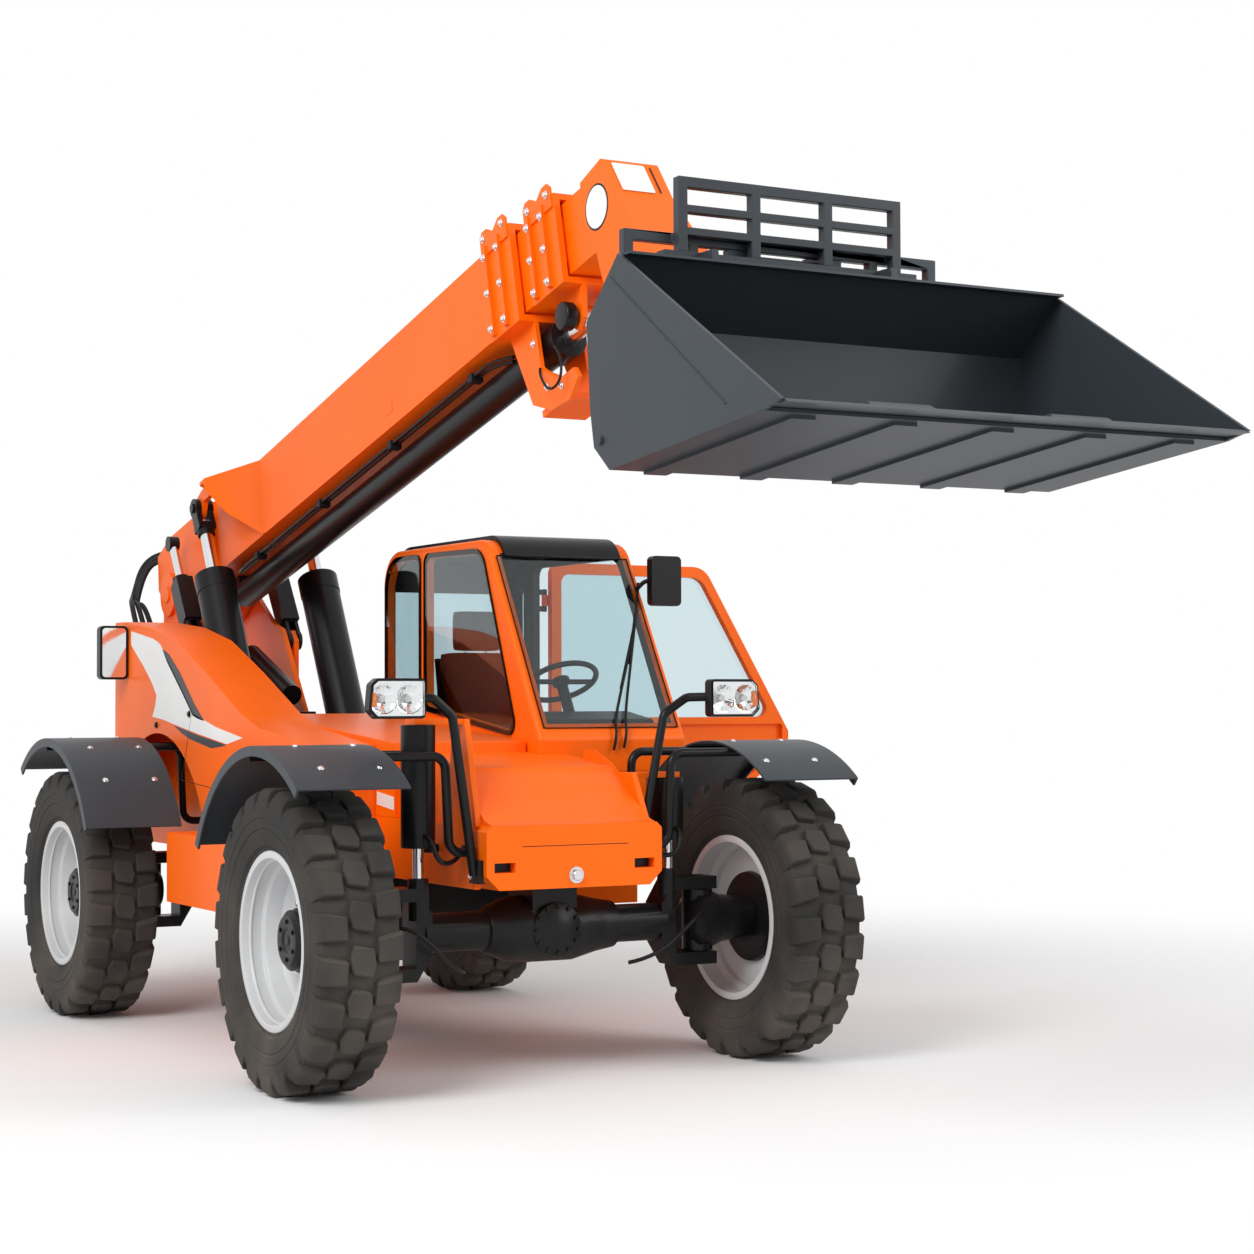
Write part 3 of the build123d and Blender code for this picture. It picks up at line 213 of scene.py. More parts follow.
bpy.context.scene.view_settings.view_transform = "Standard"
makeCamera(cameraLook)
makeWorld(studioLook)
makeFloor(studioLook)
for lampName in ("key", "fill"):
    areaLamp(f"{lampName}Light", studioLook[f"{lampName}Place"], studioLook[f"{lampName}Aim"],
             studioLook[f"{lampName}Power"], studioLook["lampSize"])
print("view, floor and light")


finishLook = {
    "orangePaint": {"colour": (1.0, 0.145, 0.0), "rough": 0.42,
                    "coat": 0.06, "dust": 0.02, "shine": 0.20},
    "slatePaint": {"colour": (0.033, 0.041, 0.049), "rough": 0.45,
                   "coat": 0.04, "dust": 0.05, "shine": 0.28},
    "blackPaint": {"colour": (0.006, 0.006, 0.007), "rough": 0.34,
                   "coat": 0.04, "dust": 0.03, "shine": 0.20},
    "rimPaint": {"colour": (0.60, 0.61, 0.62), "rough": 0.38,
                 "coat": 0.20, "dust": 0.20, "shine": 0.5},
    "whitePaint": {"colour": (0.86, 0.86, 0.85), "rough": 0.40,
                   "coat": 0.10, "dust": 0.05, "shine": 0.5},
    "tyreRubber": {"colour": (0.030, 0.029, 0.028), "rough": 0.82,
                   "coat": 0.0, "dust": 0.28, "shine": 0.25},
    "blackPlastic": {"colour": (0.007, 0.007, 0.008), "rough": 0.50,
                     "coat": 0.0, "dust": 0.03, "shine": 0.20},
    "hoseRubber": {"colour": (0.008, 0.008, 0.008), "rough": 0.45,
                   "coat": 0.0, "dust": 0.03, "shine": 0.25},
    "amberLens": {"colour": (1.0, 0.22, 0.01), "rough": 0.20,
                  "coat": 0.40, "dust": 0.0, "shine": 0.5},
    "seatCloth": {"colour": (0.012, 0.012, 0.013), "rough": 0.92,
                  "coat": 0.0, "dust": 0.10, "shine": 0.5},
}
metalLook = {
    "chromeRod": {"colour": (0.72, 0.73, 0.75), "smear": 9.0, "rough": (0.10, 0.24)},
    "silvering": {"colour": (0.88, 0.89, 0.90), "smear": 30.0, "rough": (0.06, 0.14)},
}
glassLook = {
    "tintedGlass": (0.66, 0.79, 0.82),
    "clearGlass": (0.97, 0.98, 0.98),
}
driftLook = {
    "broadScale": 2.3,
    "grainScale": 260.0,
    "grainHeight": 0.02,
    "tones": (0.90, 1.10),
    "dustHeights": (1.0, -0.4),   # none above the first, most at the second
    "dustOnTop": 0.6,
    "patches": (0.35, 0.70),
    "dustRoughness": 0.35,
    "dustColour": (0.30, 0.25, 0.20),
}


def groupSockets(tree, inputs, outputs):
    for label, kind in inputs:
        tree.interface.new_socket(label, in_out="INPUT", socket_type=kind)
    for label, kind in outputs:
        tree.interface.new_socket(label, in_out="OUTPUT", socket_type=kind)
    return tree.nodes.new("NodeGroupInput"), tree.nodes.new("NodeGroupOutput")


def makeSurfaceGroup(look):
    # slow colour drift, a veil of dust that gathers low down and on top,
    # and a fine orange-peel height
    tree = bpy.data.node_groups.new("surfaceDrift", "ShaderNodeTree")
    given, out = groupSockets(
        tree,
        [("Colour", "NodeSocketColor"), ("Dust Colour", "NodeSocketColor"),
         ("Dust", "NodeSocketFloat"), ("Roughness", "NodeSocketFloat"),
         ("Grain Scale", "NodeSocketFloat")],
        [("Colour", "NodeSocketColor"), ("Roughness", "NodeSocketFloat"),
         ("Height", "NodeSocketFloat")])
    made = tree.nodes
    place, normal = made.new("ShaderNodeTexCoord"), made.new("ShaderNodeNewGeometry")
    axes, height = made.new("ShaderNodeSeparateXYZ"), made.new("ShaderNodeSeparateXYZ")
    broad = addNode(made, "ShaderNodeTexNoise", {"Scale": look["broadScale"], "Detail": 4.0})
    fine = addNode(made, "ShaderNodeTexNoise", {"Detail": 2.0})
    ranges = {
        "low": {"From Min": look["dustHeights"][0], "From Max": look["dustHeights"][1]},
        "top": {"From Min": 0.2, "From Max": 1.0, "To Max": look["dustOnTop"]},
        "patchy": {"From Min": look["patches"][0], "From Max": look["patches"][1]},
        "value": {"To Min": look["tones"][0], "To Max": look["tones"][1]},
    }
    low, top, patchy, value = (addNode(made, "ShaderNodeMapRange", numbers)
                               for numbers in ranges.values())
    gather = addNode(made, "ShaderNodeMath", operation="ADD")
    veil = addNode(made, "ShaderNodeMath", operation="MULTIPLY")
    share = addNode(made, "ShaderNodeMath", operation="MULTIPLY", use_clamp=True)
    duller = addNode(made, "ShaderNodeMath", {1: look["dustRoughness"]}, operation="MULTIPLY_ADD")
    mix = addNode(made, "ShaderNodeMix", data_type="RGBA")
    tone = made.new("ShaderNodeHueSaturation")
    wire(tree.links,
         (place, "Object", broad, "Vector"), (place, "Object", fine, "Vector"),
         (given, "Grain Scale", fine, "Scale"), (normal, "Normal", axes, "Vector"),
         (place, "Object", height, "Vector"), (height, "Z", low, "Value"),
         (axes, "Z", top, "Value"), (low, "Result", gather, 0), (top, "Result", gather, 1),
         (broad, "Fac", patchy, "Value"), (gather, 0, veil, 0), (patchy, "Result", veil, 1),
         (veil, 0, share, 0), (given, "Dust", share, 1), (broad, "Fac", value, "Value"),
         (value, "Result", tone, "Value"), (given, "Colour", tone, "Color"),
         (share, 0, mix, "Factor"), (tone, "Color", mix, "A"), (given, "Dust Colour", mix, "B"),
         (mix, "Result", out, "Colour"), (share, 0, duller, 0), (given, "Roughness", duller, 2),
         (duller, 0, out, "Roughness"), (fine, "Fac", out, "Height"))
    return tree


surfaceDrift = makeSurfaceGroup(driftLook)


def makePaint(name, look):
    material, made, links = newMaterial(name)
    paint = made["Principled BSDF"]
    setSockets(paint, {"Coat Weight": look["coat"], "Coat Roughness": 0.12,
                       "Specular IOR Level": look["shine"]})
    drift = addNode(made, "ShaderNodeGroup", node_tree=surfaceDrift)
    setSockets(drift, {"Colour": (*look["colour"], 1.0),
                       "Dust Colour": (*driftLook["dustColour"], 1.0), "Dust": look["dust"],
                       "Roughness": look["rough"], "Grain Scale": driftLook["grainScale"]})
    raised = addNode(made, "ShaderNodeBump",
                     {"Strength": driftLook["grainHeight"], "Distance": 0.002})
    wire(links,
         (drift, "Colour", paint, "Base Color"), (drift, "Roughness", paint, "Roughness"),
         (drift, "Height", raised, "Height"), (raised, "Normal", paint, "Normal"))
    return material


def makeMetal(name, look):
    material, made, links = newMaterial(name)
    metal = made["Principled BSDF"]
    setSockets(metal, {"Base Color": (*look["colour"], 1.0), "Metallic": 1.0})
    place = made.new("ShaderNodeTexCoord")
    smear = addNode(made, "ShaderNodeTexNoise", {"Scale": look["smear"]})
    low, high = look["rough"]
    level = addNode(made, "ShaderNodeMapRange", {"To Min": low, "To Max": high})
    wire(links,
         (place, "Object", smear, "Vector"), (smear, "Fac", level, "Value"),
         (level, "Result", metal, "Roughness"))
    return material


def makeGlass(name, colour):
    material, made, links = newMaterial(name)
    glass = made["Principled BSDF"]
    setSockets(glass, {"Roughness": 0.01, "IOR": 1.45, "Transmission Weight": 1.0})
    place = made.new("ShaderNodeTexCoord")
    film = addNode(made, "ShaderNodeTexNoise", {"Scale": 1.6})
    tint = addNode(made, "ShaderNodeMix", data_type="RGBA")
    setSockets(tint, {"A": (*colour, 1.0), "B": (*(0.96 * part for part in colour), 1.0)})
    wire(links,
         (place, "Object", film, "Vector"), (film, "Fac", tint, "Factor"),
         (tint, "Result", glass, "Base Color"))
    return material


finish = {name: makePaint(name, look) for name, look in finishLook.items()}
finish.update({name: makeMetal(name, look) for name, look in metalLook.items()})
finish.update({name: makeGlass(name, colour) for name, colour in glassLook.items()})


slotFinish = {
    "orange_paint": "orangePaint",
    "slate_paint": "slatePaint",
    "black_paint": "blackPaint",
    "rim_paint": "rimPaint",
    "chrome_rod": "chromeRod",
    "tyre_rubber": "tyreRubber",
    "cab_glass": "tintedGlass",
    "cab_trim": "blackPlastic",
    "seat_cover": "seatCloth",
}
for subpart in frame["record"]["subparts"]:
    mesh = nodes[subpart["node"]].data
    mesh.materials.clear()
    mesh.materials.append(finish[slotFinish[subpart["material_slot"]]])
nodes["lamp_lenses"].data.materials[0] = finish["clearGlass"]
print("finishes")


def softShade(mesh, sharpAngle=35.0):
    shape = bmesh.new()
    shape.from_mesh(mesh)
    limit = math.radians(sharpAngle)
    for face in shape.faces:
        face.smooth = True
    for edge in shape.edges:
        edge.smooth = len(edge.link_faces) == 2 and edge.calc_face_angle(0.0) < limit
    shape.to_mesh(mesh)
    shape.free()


def evaluatedMesh(thing):
    graph = bpy.context.evaluated_depsgraph_get()
    return bpy.data.meshes.new_from_object(thing.evaluated_get(graph))


def keepResult(thing):
    # what the modifiers make of the object becomes its own plain mesh
    mesh = evaluatedMesh(thing)
    thing.modifiers.clear()
    thing.data = mesh
    return mesh


def roundEdges(mesh, width, steps=2, overAngle=40.0):
    holder = newObject("rounding", mesh)
    edge = holder.modifiers.new("softEdge", "BEVEL")
    edge.width = width
    edge.segments = steps
    edge.limit_method = "ANGLE"
    edge.angle_limit = math.radians(overAngle)
    made = keepResult(holder)
    bpy.data.objects.remove(holder)
    return made


def showPiece(name, mesh, body, look, sharpAngle=35.0, weighted=False, standsFor=()):
    softShade(mesh, sharpAngle)
    piece = newObject(name, mesh)
    if weighted:
        flat = piece.modifiers.new("flatFaces", "WEIGHTED_NORMAL")
        flat.keep_sharp = True
        keepResult(piece)
    piece.data.name = name
    piece.data.materials.clear()
    piece.data.materials.append(finish[look])
    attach(piece, body)
    if standsFor:
        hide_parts(*standsFor)
    return piece


def meshOf(shape):
    bmesh.ops.remove_doubles(shape, verts=shape.verts, dist=1e-5)
    bmesh.ops.recalc_face_normals(shape, faces=shape.faces)
    return toMesh(shape, "made")


def joined(meshes):
    shape = bmesh.new()
    for mesh in meshes:
        shape.from_mesh(mesh)
    return toMesh(shape, "joined")


def moved(mesh, matrix):
    copy = mesh.copy()
    copy.transform(matrix)
    if matrix.determinant() < 0:
        copy.flip_normals()
    return copy


def turnedMesh(profile, turns=96):
    # profile is a closed outline of (y, radius)
    shape = bmesh.new()
    rings = []
    for k in range(turns):
        angle = 2 * math.pi * k / turns
        rings.append([shape.verts.new((r * math.sin(angle), y, r * math.cos(angle)))
                      for y, r in profile])
    for k, here in enumerate(rings):
        there = rings[(k + 1) % turns]
        for i in range(len(profile)):
            j = (i + 1) % len(profile)
            shape.faces.new((here[i], here[j], there[j], there[i]))
    return meshOf(shape)


def prismMesh(outline, depth, place=Matrix.Identity(4)):
    # outline of (u, v), raised along w; place says where u, v and w point
    shape = bmesh.new()
    low = [shape.verts.new((u, v, 0.0)) for u, v in outline]
    high = [shape.verts.new((u, v, depth)) for u, v in outline]
    count = len(outline)
    shape.faces.new(low[::-1])
    shape.faces.new(high)
    for i in range(count):
        j = (i + 1) % count
        shape.faces.new((low[i], low[j], high[j], high[i]))
    shape.transform(place)
    return meshOf(shape)


def roundOutline(corners, radius, steps=5):
    # the corners of a flat outline rounded by arcs
    made = []
    count = len(corners)
    for i in range(count):
        here = Vector(corners[i])
        back = (Vector(corners[i - 1]) - here).normalized()
        ahead = (Vector(corners[(i + 1) % count]) - here).normalized()
        half = back.angle(ahead) / 2
        reach = radius / math.tan(half)
        centre = here + (back + ahead).normalized() * (radius / math.sin(half))
        first = here + back * reach - centre
        last = here + ahead * reach - centre
        turn = first.angle_signed(last)
        for k in range(steps + 1):
            spin = Matrix.Rotation(-turn * k / steps, 2)
            made.append(tuple(centre + spin @ first))
    return made


def rectangle(width, height, radius, steps=5):
    # a rectangle round the origin with rounded corners
    u, v = width / 2, height / 2
    return roundOutline([(-u, -v), (u, -v), (u, v), (-u, v)], radius, steps)


def ringOutline(radius, count):
    steps = [2 * math.pi * k / count for k in range(count)]
    return [(radius * math.cos(angle), radius * math.sin(angle)) for angle in steps]


def onPlane(origin, right, up):
    # places a flat outline: u along right, v along up, w towards right x up
    right, up = Vector(right).normalized(), Vector(up).normalized()
    out = right.cross(up)
    return Matrix.Translation(origin) @ Matrix((right, up, out)).transposed().to_4x4()


def facingFront(place):
    # u towards the left, v up, w forward
    return onPlane(place, (0.0, 1.0, 0.0), (0.0, 0.0, 1.0))


def facingRight(place):
    # u forward, v up, w towards the right
    return onPlane(place, (1.0, 0.0, 0.0), (0.0, 0.0, 1.0))


facingLeft = onPlane((0.0, 0.0, 0.0), (0.0, 0.0, 1.0), (1.0, 0.0, 0.0))


def pipeMesh(points, radius, smooth=True, sides=12):
    curve = bpy.data.curves.new("pipe", "CURVE")
    curve.dimensions = "3D"
    curve.bevel_depth = radius
    curve.bevel_resolution = max(1, sides // 4 - 1)
    curve.use_fill_caps = True
    line = curve.splines.new("NURBS" if smooth else "POLY")
    line.points.add(len(points) - 1)
    for knot, point in zip(line.points, points):
        knot.co = (*point, 1.0)
    if smooth:
        line.order_u = 3
        line.use_endpoint_u = True
        line.resolution_u = 6
    holder = newObject("pipe", curve)
    mesh = evaluatedMesh(holder)
    bpy.data.objects.remove(holder)
    shape = bmesh.new()
    shape.from_mesh(mesh)
    return meshOf(shape)


def makeRepeatTree():
    # copies of a piece, each a step and a turn on from the last
    tree = bpy.data.node_groups.new("repeatPiece", "GeometryNodeTree")
    given, out = groupSockets(
        tree,
        [("Geometry", "NodeSocketGeometry"), ("Count", "NodeSocketInt"),
         ("Step", "NodeSocketVector"), ("Turn", "NodeSocketVector"),
         ("First Turn", "NodeSocketVector"), ("Material", "NodeSocketMaterial")],
        [("Geometry", "NodeSocketGeometry")])
    made = tree.nodes
    number = made.new("GeometryNodeInputIndex")
    places = made.new("GeometryNodePoints")
    step = addNode(made, "ShaderNodeVectorMath", operation="SCALE")
    turn = addNode(made, "ShaderNodeVectorMath", operation="SCALE")
    whole = addNode(made, "ShaderNodeVectorMath", operation="ADD")
    copies = made.new("GeometryNodeInstanceOnPoints")
    real = made.new("GeometryNodeRealizeInstances")
    paint = made.new("GeometryNodeSetMaterial")
    wire(tree.links,
         (given, "Count", places, "Count"), (given, "Step", step, 0),
         (number, "Index", step, "Scale"), (step, "Vector", places, "Position"),
         (given, "Turn", turn, 0), (number, "Index", turn, "Scale"), (turn, "Vector", whole, 0),
         (given, "First Turn", whole, 1), (places, "Points", copies, "Points"),
         (given, "Geometry", copies, "Instance"), (whole, "Vector", copies, "Rotation"),
         (copies, "Instances", real, "Geometry"), (real, "Geometry", paint, "Geometry"),
         (given, "Material", paint, "Material"), (paint, "Geometry", out, "Geometry"))
    return tree


repeatPiece = makeRepeatTree()


def repeated(mesh, count, look, step=(0.0, 0.0, 0.0), turn=(0.0, 0.0, 0.0),
             firstTurn=(0.0, 0.0, 0.0)):
    holder = newObject("repeated", mesh)
    copier = holder.modifiers.new("repeatPiece", "NODES")
    copier.node_group = repeatPiece
    values = {"Count": count, "Step": step, "Turn": turn, "First Turn": firstTurn,
              "Material": finish[look]}
    for item in repeatPiece.interface.items_tree:
        if item.in_out == "INPUT" and item.name in values:
            copier[item.identifier] = values[item.name]
    made = keepResult(holder)
    bpy.data.objects.remove(holder)
    return made


def aroundY(mesh, count, look, phase=0.0):
    return repeated(mesh, count, look, turn=(0.0, 2 * math.pi / count, 0.0),
                    firstTurn=(0.0, phase, 0.0))


def boltMesh(radius, height, washer=1.4):
    # hexagon head on a washer, standing on the plane w = 0
    head = prismMesh(ringOutline(radius, 6), height)
    under = prismMesh(ringOutline(radius * washer, 12), height * 0.22)
    return joined([roundEdges(head, height * 0.12, 1), under])


def boltsAt(places, normal, radius=0.012, height=0.012):
    # the same bolt at each of these points of a face
    out = Vector(normal).normalized()
    side = out.orthogonal().normalized()
    head = boltMesh(radius, height)
    return joined([moved(head, onPlane(place, side, out.cross(side))) for place in places])


def plainCopy(node):
    shape = bmesh.new()
    shape.from_mesh(nodes[node].data)
    bmesh.ops.remove_doubles(shape, verts=shape.verts, dist=1e-5)
    bmesh.ops.dissolve_limit(shape, angle_limit=math.radians(0.8), verts=shape.verts,
                             edges=shape.edges)
    return toMesh(shape, node)


# wheels
wheelLook = {
    "turns": 96,
    "lugs": 22,
    "lugTop": 0.6440,
    "treadBase": 0.612,
    "halfTread": 0.186,
    "lugDraft": 0.007,
    "lugEdge": 0.006,
    "hubBolts": 10,
    "hubBoltCircle": 0.178,
    "hubPlugs": 6,
    "hubPlugCircle": 0.08,
}


def lugMesh(section, near, far, slant):
    # block raised from the casing at the top of the wheel,
    # section is (y, radius) round its cut face
    shape = bmesh.new()
    fronts, backs = [], []
    for y, r in section:
        draft = wheelLook["lugDraft"] if r > wheelLook["treadBase"] + 0.01 else 0.0
        shift = slant * abs(y)
        half = near + (far - near) * abs(y) / wheelLook["halfTread"]
        fronts.append(shape.verts.new((shift + half - draft, y, math.sqrt(r * r - half * half))))
        backs.append(shape.verts.new((shift - half + draft, y, math.sqrt(r * r - half * half))))
    count = len(section)
    shape.faces.new(fronts)
    shape.faces.new(backs[::-1])
    for i in range(count):
        j = (i + 1) % count
        shape.faces.new((fronts[i], backs[i], backs[j], fronts[j]))
    return roundEdges(meshOf(shape), wheelLook["lugEdge"], 1, 30.0)


def makeTyreMesh(look):
    top, base = look["lugTop"], look["treadBase"]
    outside = [(0.147, 0.358), (0.148, 0.372), (0.153, 0.394), (0.166, 0.404), (0.175, 0.432),
               (0.1795, 0.462), (0.1765, 0.466), (0.1768, 0.471), (0.1808, 0.475), (0.1838, 0.508),
               (0.1812, 0.512), (0.1812, 0.518), (0.184, 0.522), (0.1835, 0.552), (0.177, 0.583),
               (0.163, 0.602), (0.10, base), (0.0, base + 0.002)]
    profile = outside + [(-y, r) for y, r in outside[-2::-1]]
    profile += [(-0.13, 0.362), (-0.12, 0.55), (0.12, 0.55), (0.13, 0.362)]
    casing = turnedMesh(profile, look["turns"])
    shoulder = [(0.064, base - 0.01), (0.066, top), (0.150, top - 0.001), (0.172, 0.634),
                (0.1845, 0.602), (0.1848, 0.560), (0.1795, 0.548), (0.165, 0.575), (0.14, 0.595)]
    outer = lugMesh(shoulder, 0.050, 0.062, 0.10)
    other = moved(outer, Matrix.Scale(-1.0, 4, (0.0, 1.0, 0.0)))
    pitch = 2 * math.pi / look["lugs"]
    middle = prismMesh([(-0.066, -0.040), (-0.020, -0.056), (0.050, -0.044), (0.066, 0.040),
                        (0.020, 0.056), (-0.050, 0.044)], 0.05,
                       Matrix.Translation((0.0, 0.0, top - 0.0525)))
    middle = roundEdges(middle, look["lugEdge"], 1, 30.0)
    rows = [aroundY(block, look["lugs"], "tyreRubber", pitch * share)
            for block, share in ((outer, 0.0), (other, 0.5), (middle, 0.30))]
    return joined([casing] + rows)


def makeRimMesh(look):
    profile = [(0.155, 0.374), (0.153, 0.380), (0.147, 0.380), (0.147, 0.3555), (0.072, 0.3525),
               (0.052, 0.3275), (-0.052, 0.3275), (-0.072, 0.3525), (-0.147, 0.3555),
               (-0.147, 0.380), (-0.155, 0.380), (-0.155, 0.3475), (-0.075, 0.3445),
               (-0.057, 0.3195), (-0.030, 0.3195), (-0.030, 0.152), (-0.018, 0.152),
               (-0.018, 0.235), (-0.026, 0.250), (-0.026, 0.285), (-0.010, 0.3065), (0.057, 0.3195),
               (0.068, 0.3375), (0.108, 0.3425), (0.112, 0.3365), (0.118, 0.3365), (0.122, 0.3445),
               (0.155, 0.3475)]
    return roundEdges(turnedMesh(profile, look["turns"]), 0.003, 2, 20.0)


def makeHubMesh():
    profile = [(-0.055, 0.05), (-0.055, 0.205), (-0.0305, 0.21), (-0.0305, 0.1495),
               (-0.0175, 0.1495), (-0.0175, 0.147), (-0.006, 0.147), (0.0, 0.136), (0.034, 0.136),
               (0.036, 0.128), (0.066, 0.128), (0.070, 0.122), (0.084, 0.106), (0.084, 0.052),
               (0.078, 0.048), (0.078, 0.022), (0.082, 0.018), (0.082, 0.0), (0.0, 0.0),
               (0.0, 0.05)]
    return roundEdges(turnedMesh(profile, 64), 0.002, 2, 20.0)


def makeWheels():
    tyre, rim, hub = makeTyreMesh(wheelLook), makeRimMesh(wheelLook), makeHubMesh()
    nut = moved(boltMesh(0.015, 0.020),
                Matrix.Translation((0.0, -0.018, wheelLook["hubBoltCircle"])) @ facingLeft)
    nuts = aroundY(nut, wheelLook["hubBolts"], "chromeRod")
    plug = moved(boltMesh(0.009, 0.008),
                 Matrix.Translation((0.0, 0.084, wheelLook["hubPlugCircle"])) @ facingLeft)
    cap = joined([hub, aroundY(plug, wheelLook["hubPlugs"], "blackPaint")])
    for end in wheelEnds:
        low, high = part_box(f"rim_{end}")
        place = Matrix.Translation((low + high) / 2)
        if end.endswith("right"):
            place = place @ Matrix.Rotation(math.pi, 4, "Z")
        body = f"wheel_{end}"
        showPiece(f"tyreTread_{end}", moved(tyre, place), body, "tyreRubber", 30.0,
                  standsFor=[f"tyre_{end}"])
        showPiece(f"rimDish_{end}", moved(rim, place), body, "rimPaint", 40.0,
                  standsFor=[f"rim_{end}"])
        showPiece(f"hubCap_{end}", moved(cap, place), body, "blackPaint", 40.0,
                  standsFor=[f"hub_{end}"])
        showPiece(f"hubNuts_{end}", moved(nuts, place), body, "chromeRod")


makeWheels()
print("wheels")

# steelwork and covers with softened edges
edgeLook = {
    "main_frame": 0.006, "engine_hood": 0.010, "engine_deck": 0.008, "front_cover": 0.010,
    "rear_cover_left": 0.010, "side_boxes": 0.010, "belly_pan": 0.006, "fenders": 0.003,
    "fender_arms": 0.0, "rear_axle": 0.006, "front_axle": 0.006, "engine_block": 0.006,
    "exhaust": 0.004, "cab_shell": 0.004, "cab_roof": 0.004, "seat_base": 0.008, "dashboard": 0.012,
    "steering_wheel": 0.0, "head_lamps": 0.004, "mirrors": 0.006, "sway_barrels": 0.004,
    "boom_outer_section": 0.005, "boom_mid_section": 0.004, "boom_inner_section": 0.004,
    "boom_head": 0.005, "telescope_barrel": 0.004, "bucket": 0.003, "carriage": 0.004,
    "load_backrest": 0.005, "lift_barrels": 0.004, "compensation_barrels": 0.004,
    "tilt_barrel": 0.004, "door_frame": 0.004, "lift_rods": 0.003, "compensation_rods": 0.003,
    "tilt_rod": 0.002, "telescope_rod": 0.002, "sway_rods": 0.002,
    **{f"knuckle_{end}": 0.006 for end in wheelEnds},
}
eyeLook = {"lift_rods": 0.245, "compensation_rods": 0.125}   # length of the rod's black eye
cabTrimInset = 0.028
bodyOf = {node: body for body, members in frame["record"]["behaviour"]["bodies"].items()
          for node in members}
lookOf = {row["node"]: slotFinish[row["material_slot"]] for row in frame["record"]["subparts"]}


def paintFaces(piece, look, chosen):
    # a second finish on the faces that the test chooses
    piece.data.materials.append(finish[look])
    for face in piece.data.polygons:
        face.material_index = int(chosen(face))


def liningTest(node):
    # whether a face of the cab looks into it
    low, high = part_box(node)
    middle = (low + high) / 2

    def facesIn(face):
        inside = low.y + cabTrimInset < face.center.y < high.y - cabTrimInset
        return inside and face.normal.dot(face.center - middle) < 0

    return facesIn


for node, width in edgeLook.items():
    mesh = plainCopy(node)
    if width:
        mesh = roundEdges(mesh, width)
    piece = showPiece(f"soft_{node}", mesh, bodyOf[node], lookOf[node], weighted=True,
                      standsFor=[node])
    if node in eyeLook:
        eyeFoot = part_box(node)[1].z - eyeLook[node]
        paintFaces(piece, "blackPaint", lambda face: face.center.z > eyeFoot)
    if node == "cab_shell":
        paintFaces(piece, "blackPlastic", liningTest(node))
print("softened edges")

# boom fittings
boomLook = {
    "pivot": (-2.85, 0.0, 1.85),
    "angle": 13.4,
    "ribBolt": (0.013, 0.014),
    "yokeBolt": (0.012, 0.012),
    "disc": (5.365, 0.170, 0.090),   # place along, place up, radius
    "discBorder": 1.10,
    "borderThickness": 0.001,
    "padThickness": 0.002,
    "lineStart": 0.75,
    "lineRadius": 0.009,
    "clamps": 4,
    "clampStep": 0.95,
    "cableRadius": 0.006,
}
collarLook = {
    "boom": {"ribs": (4.46, 4.59), "side": 0.2205, "ups": (0.31, 0.14, -0.03),
             "ears": (4.455, 4.645), "earSide": 0.2105, "earUp": 0.402},
    "boom_middle": {"ribs": (4.845, 4.975), "side": 0.1955, "ups": (0.29, 0.14, -0.01),
                    "ears": (4.85, 5.03), "earSide": 0.1855, "earUp": 0.368},
}


def onBoom(along, across, up):
    angle = math.radians(boomLook["angle"])
    x, y, z = boomLook["pivot"]
    return Vector((x + along * math.cos(angle) - up * math.sin(angle), y + across,
                   z + along * math.sin(angle) + up * math.cos(angle)))


boomAlong = (onBoom(1.0, 0.0, 0.0) - onBoom(0.0, 0.0, 0.0)).normalized()
boomUp = (onBoom(0.0, 0.0, 1.0) - onBoom(0.0, 0.0, 0.0)).normalized()


def boomFace(along, across, up, side):
    # a flat face of the boom's side, u along it and v up it
    right = boomAlong if side < 0 else -boomAlong
    return onPlane(onBoom(along, across, up), right, boomUp)


def dressBoomSide(side, name):
    out = (0.0, side, 0.0)
    for body, collar in collarLook.items():
        places = [onBoom(along, side * collar["side"], up)
                  for along in collar["ribs"] for up in collar["ups"]]
        places += [onBoom(along, side * collar["earSide"], collar["earUp"])
                   for along in collar["ears"]]
        showPiece(f"collarBolts_{body}_{name}", boltsAt(places, out, *boomLook["ribBolt"]), body,
                  "chromeRod")
    yoke = [onBoom(along, side * 0.1255, up)
            for along, up in ((4.66, -0.17), (4.74, -0.40), (4.87, -0.44))]
    showPiece(f"yokeBolts_{name}", boltsAt(yoke, out, *boomLook["yokeBolt"]), "boom", "chromeRod")
    along, up, radius = boomLook["disc"]
    face = boomFace(along, side * 0.1383, up, side)
    border = prismMesh(ringOutline(radius * boomLook["discBorder"], 48),
                       boomLook["borderThickness"], face)
    showPiece(f"discBorder_{name}", border, "boom_nose", "blackPaint")
    disc = prismMesh(ringOutline(radius, 48), boomLook["padThickness"], face)
    showPiece(f"disc_{name}", disc, "boom_nose", "whitePaint")


def boomLine(across, up, end):
    # a rigid line under the boom that turns in at both ends
    start = boomLook["lineStart"]
    points = [onBoom(start, across * 0.6, up + 0.03)]
    points += [onBoom(along, across, up)
               for along in (start + 0.15, start + 0.30, end - 0.3, end - 0.15)]
    points.append(onBoom(end, across * 0.7, up - 0.03))
    return pipeMesh(points, boomLook["lineRadius"])


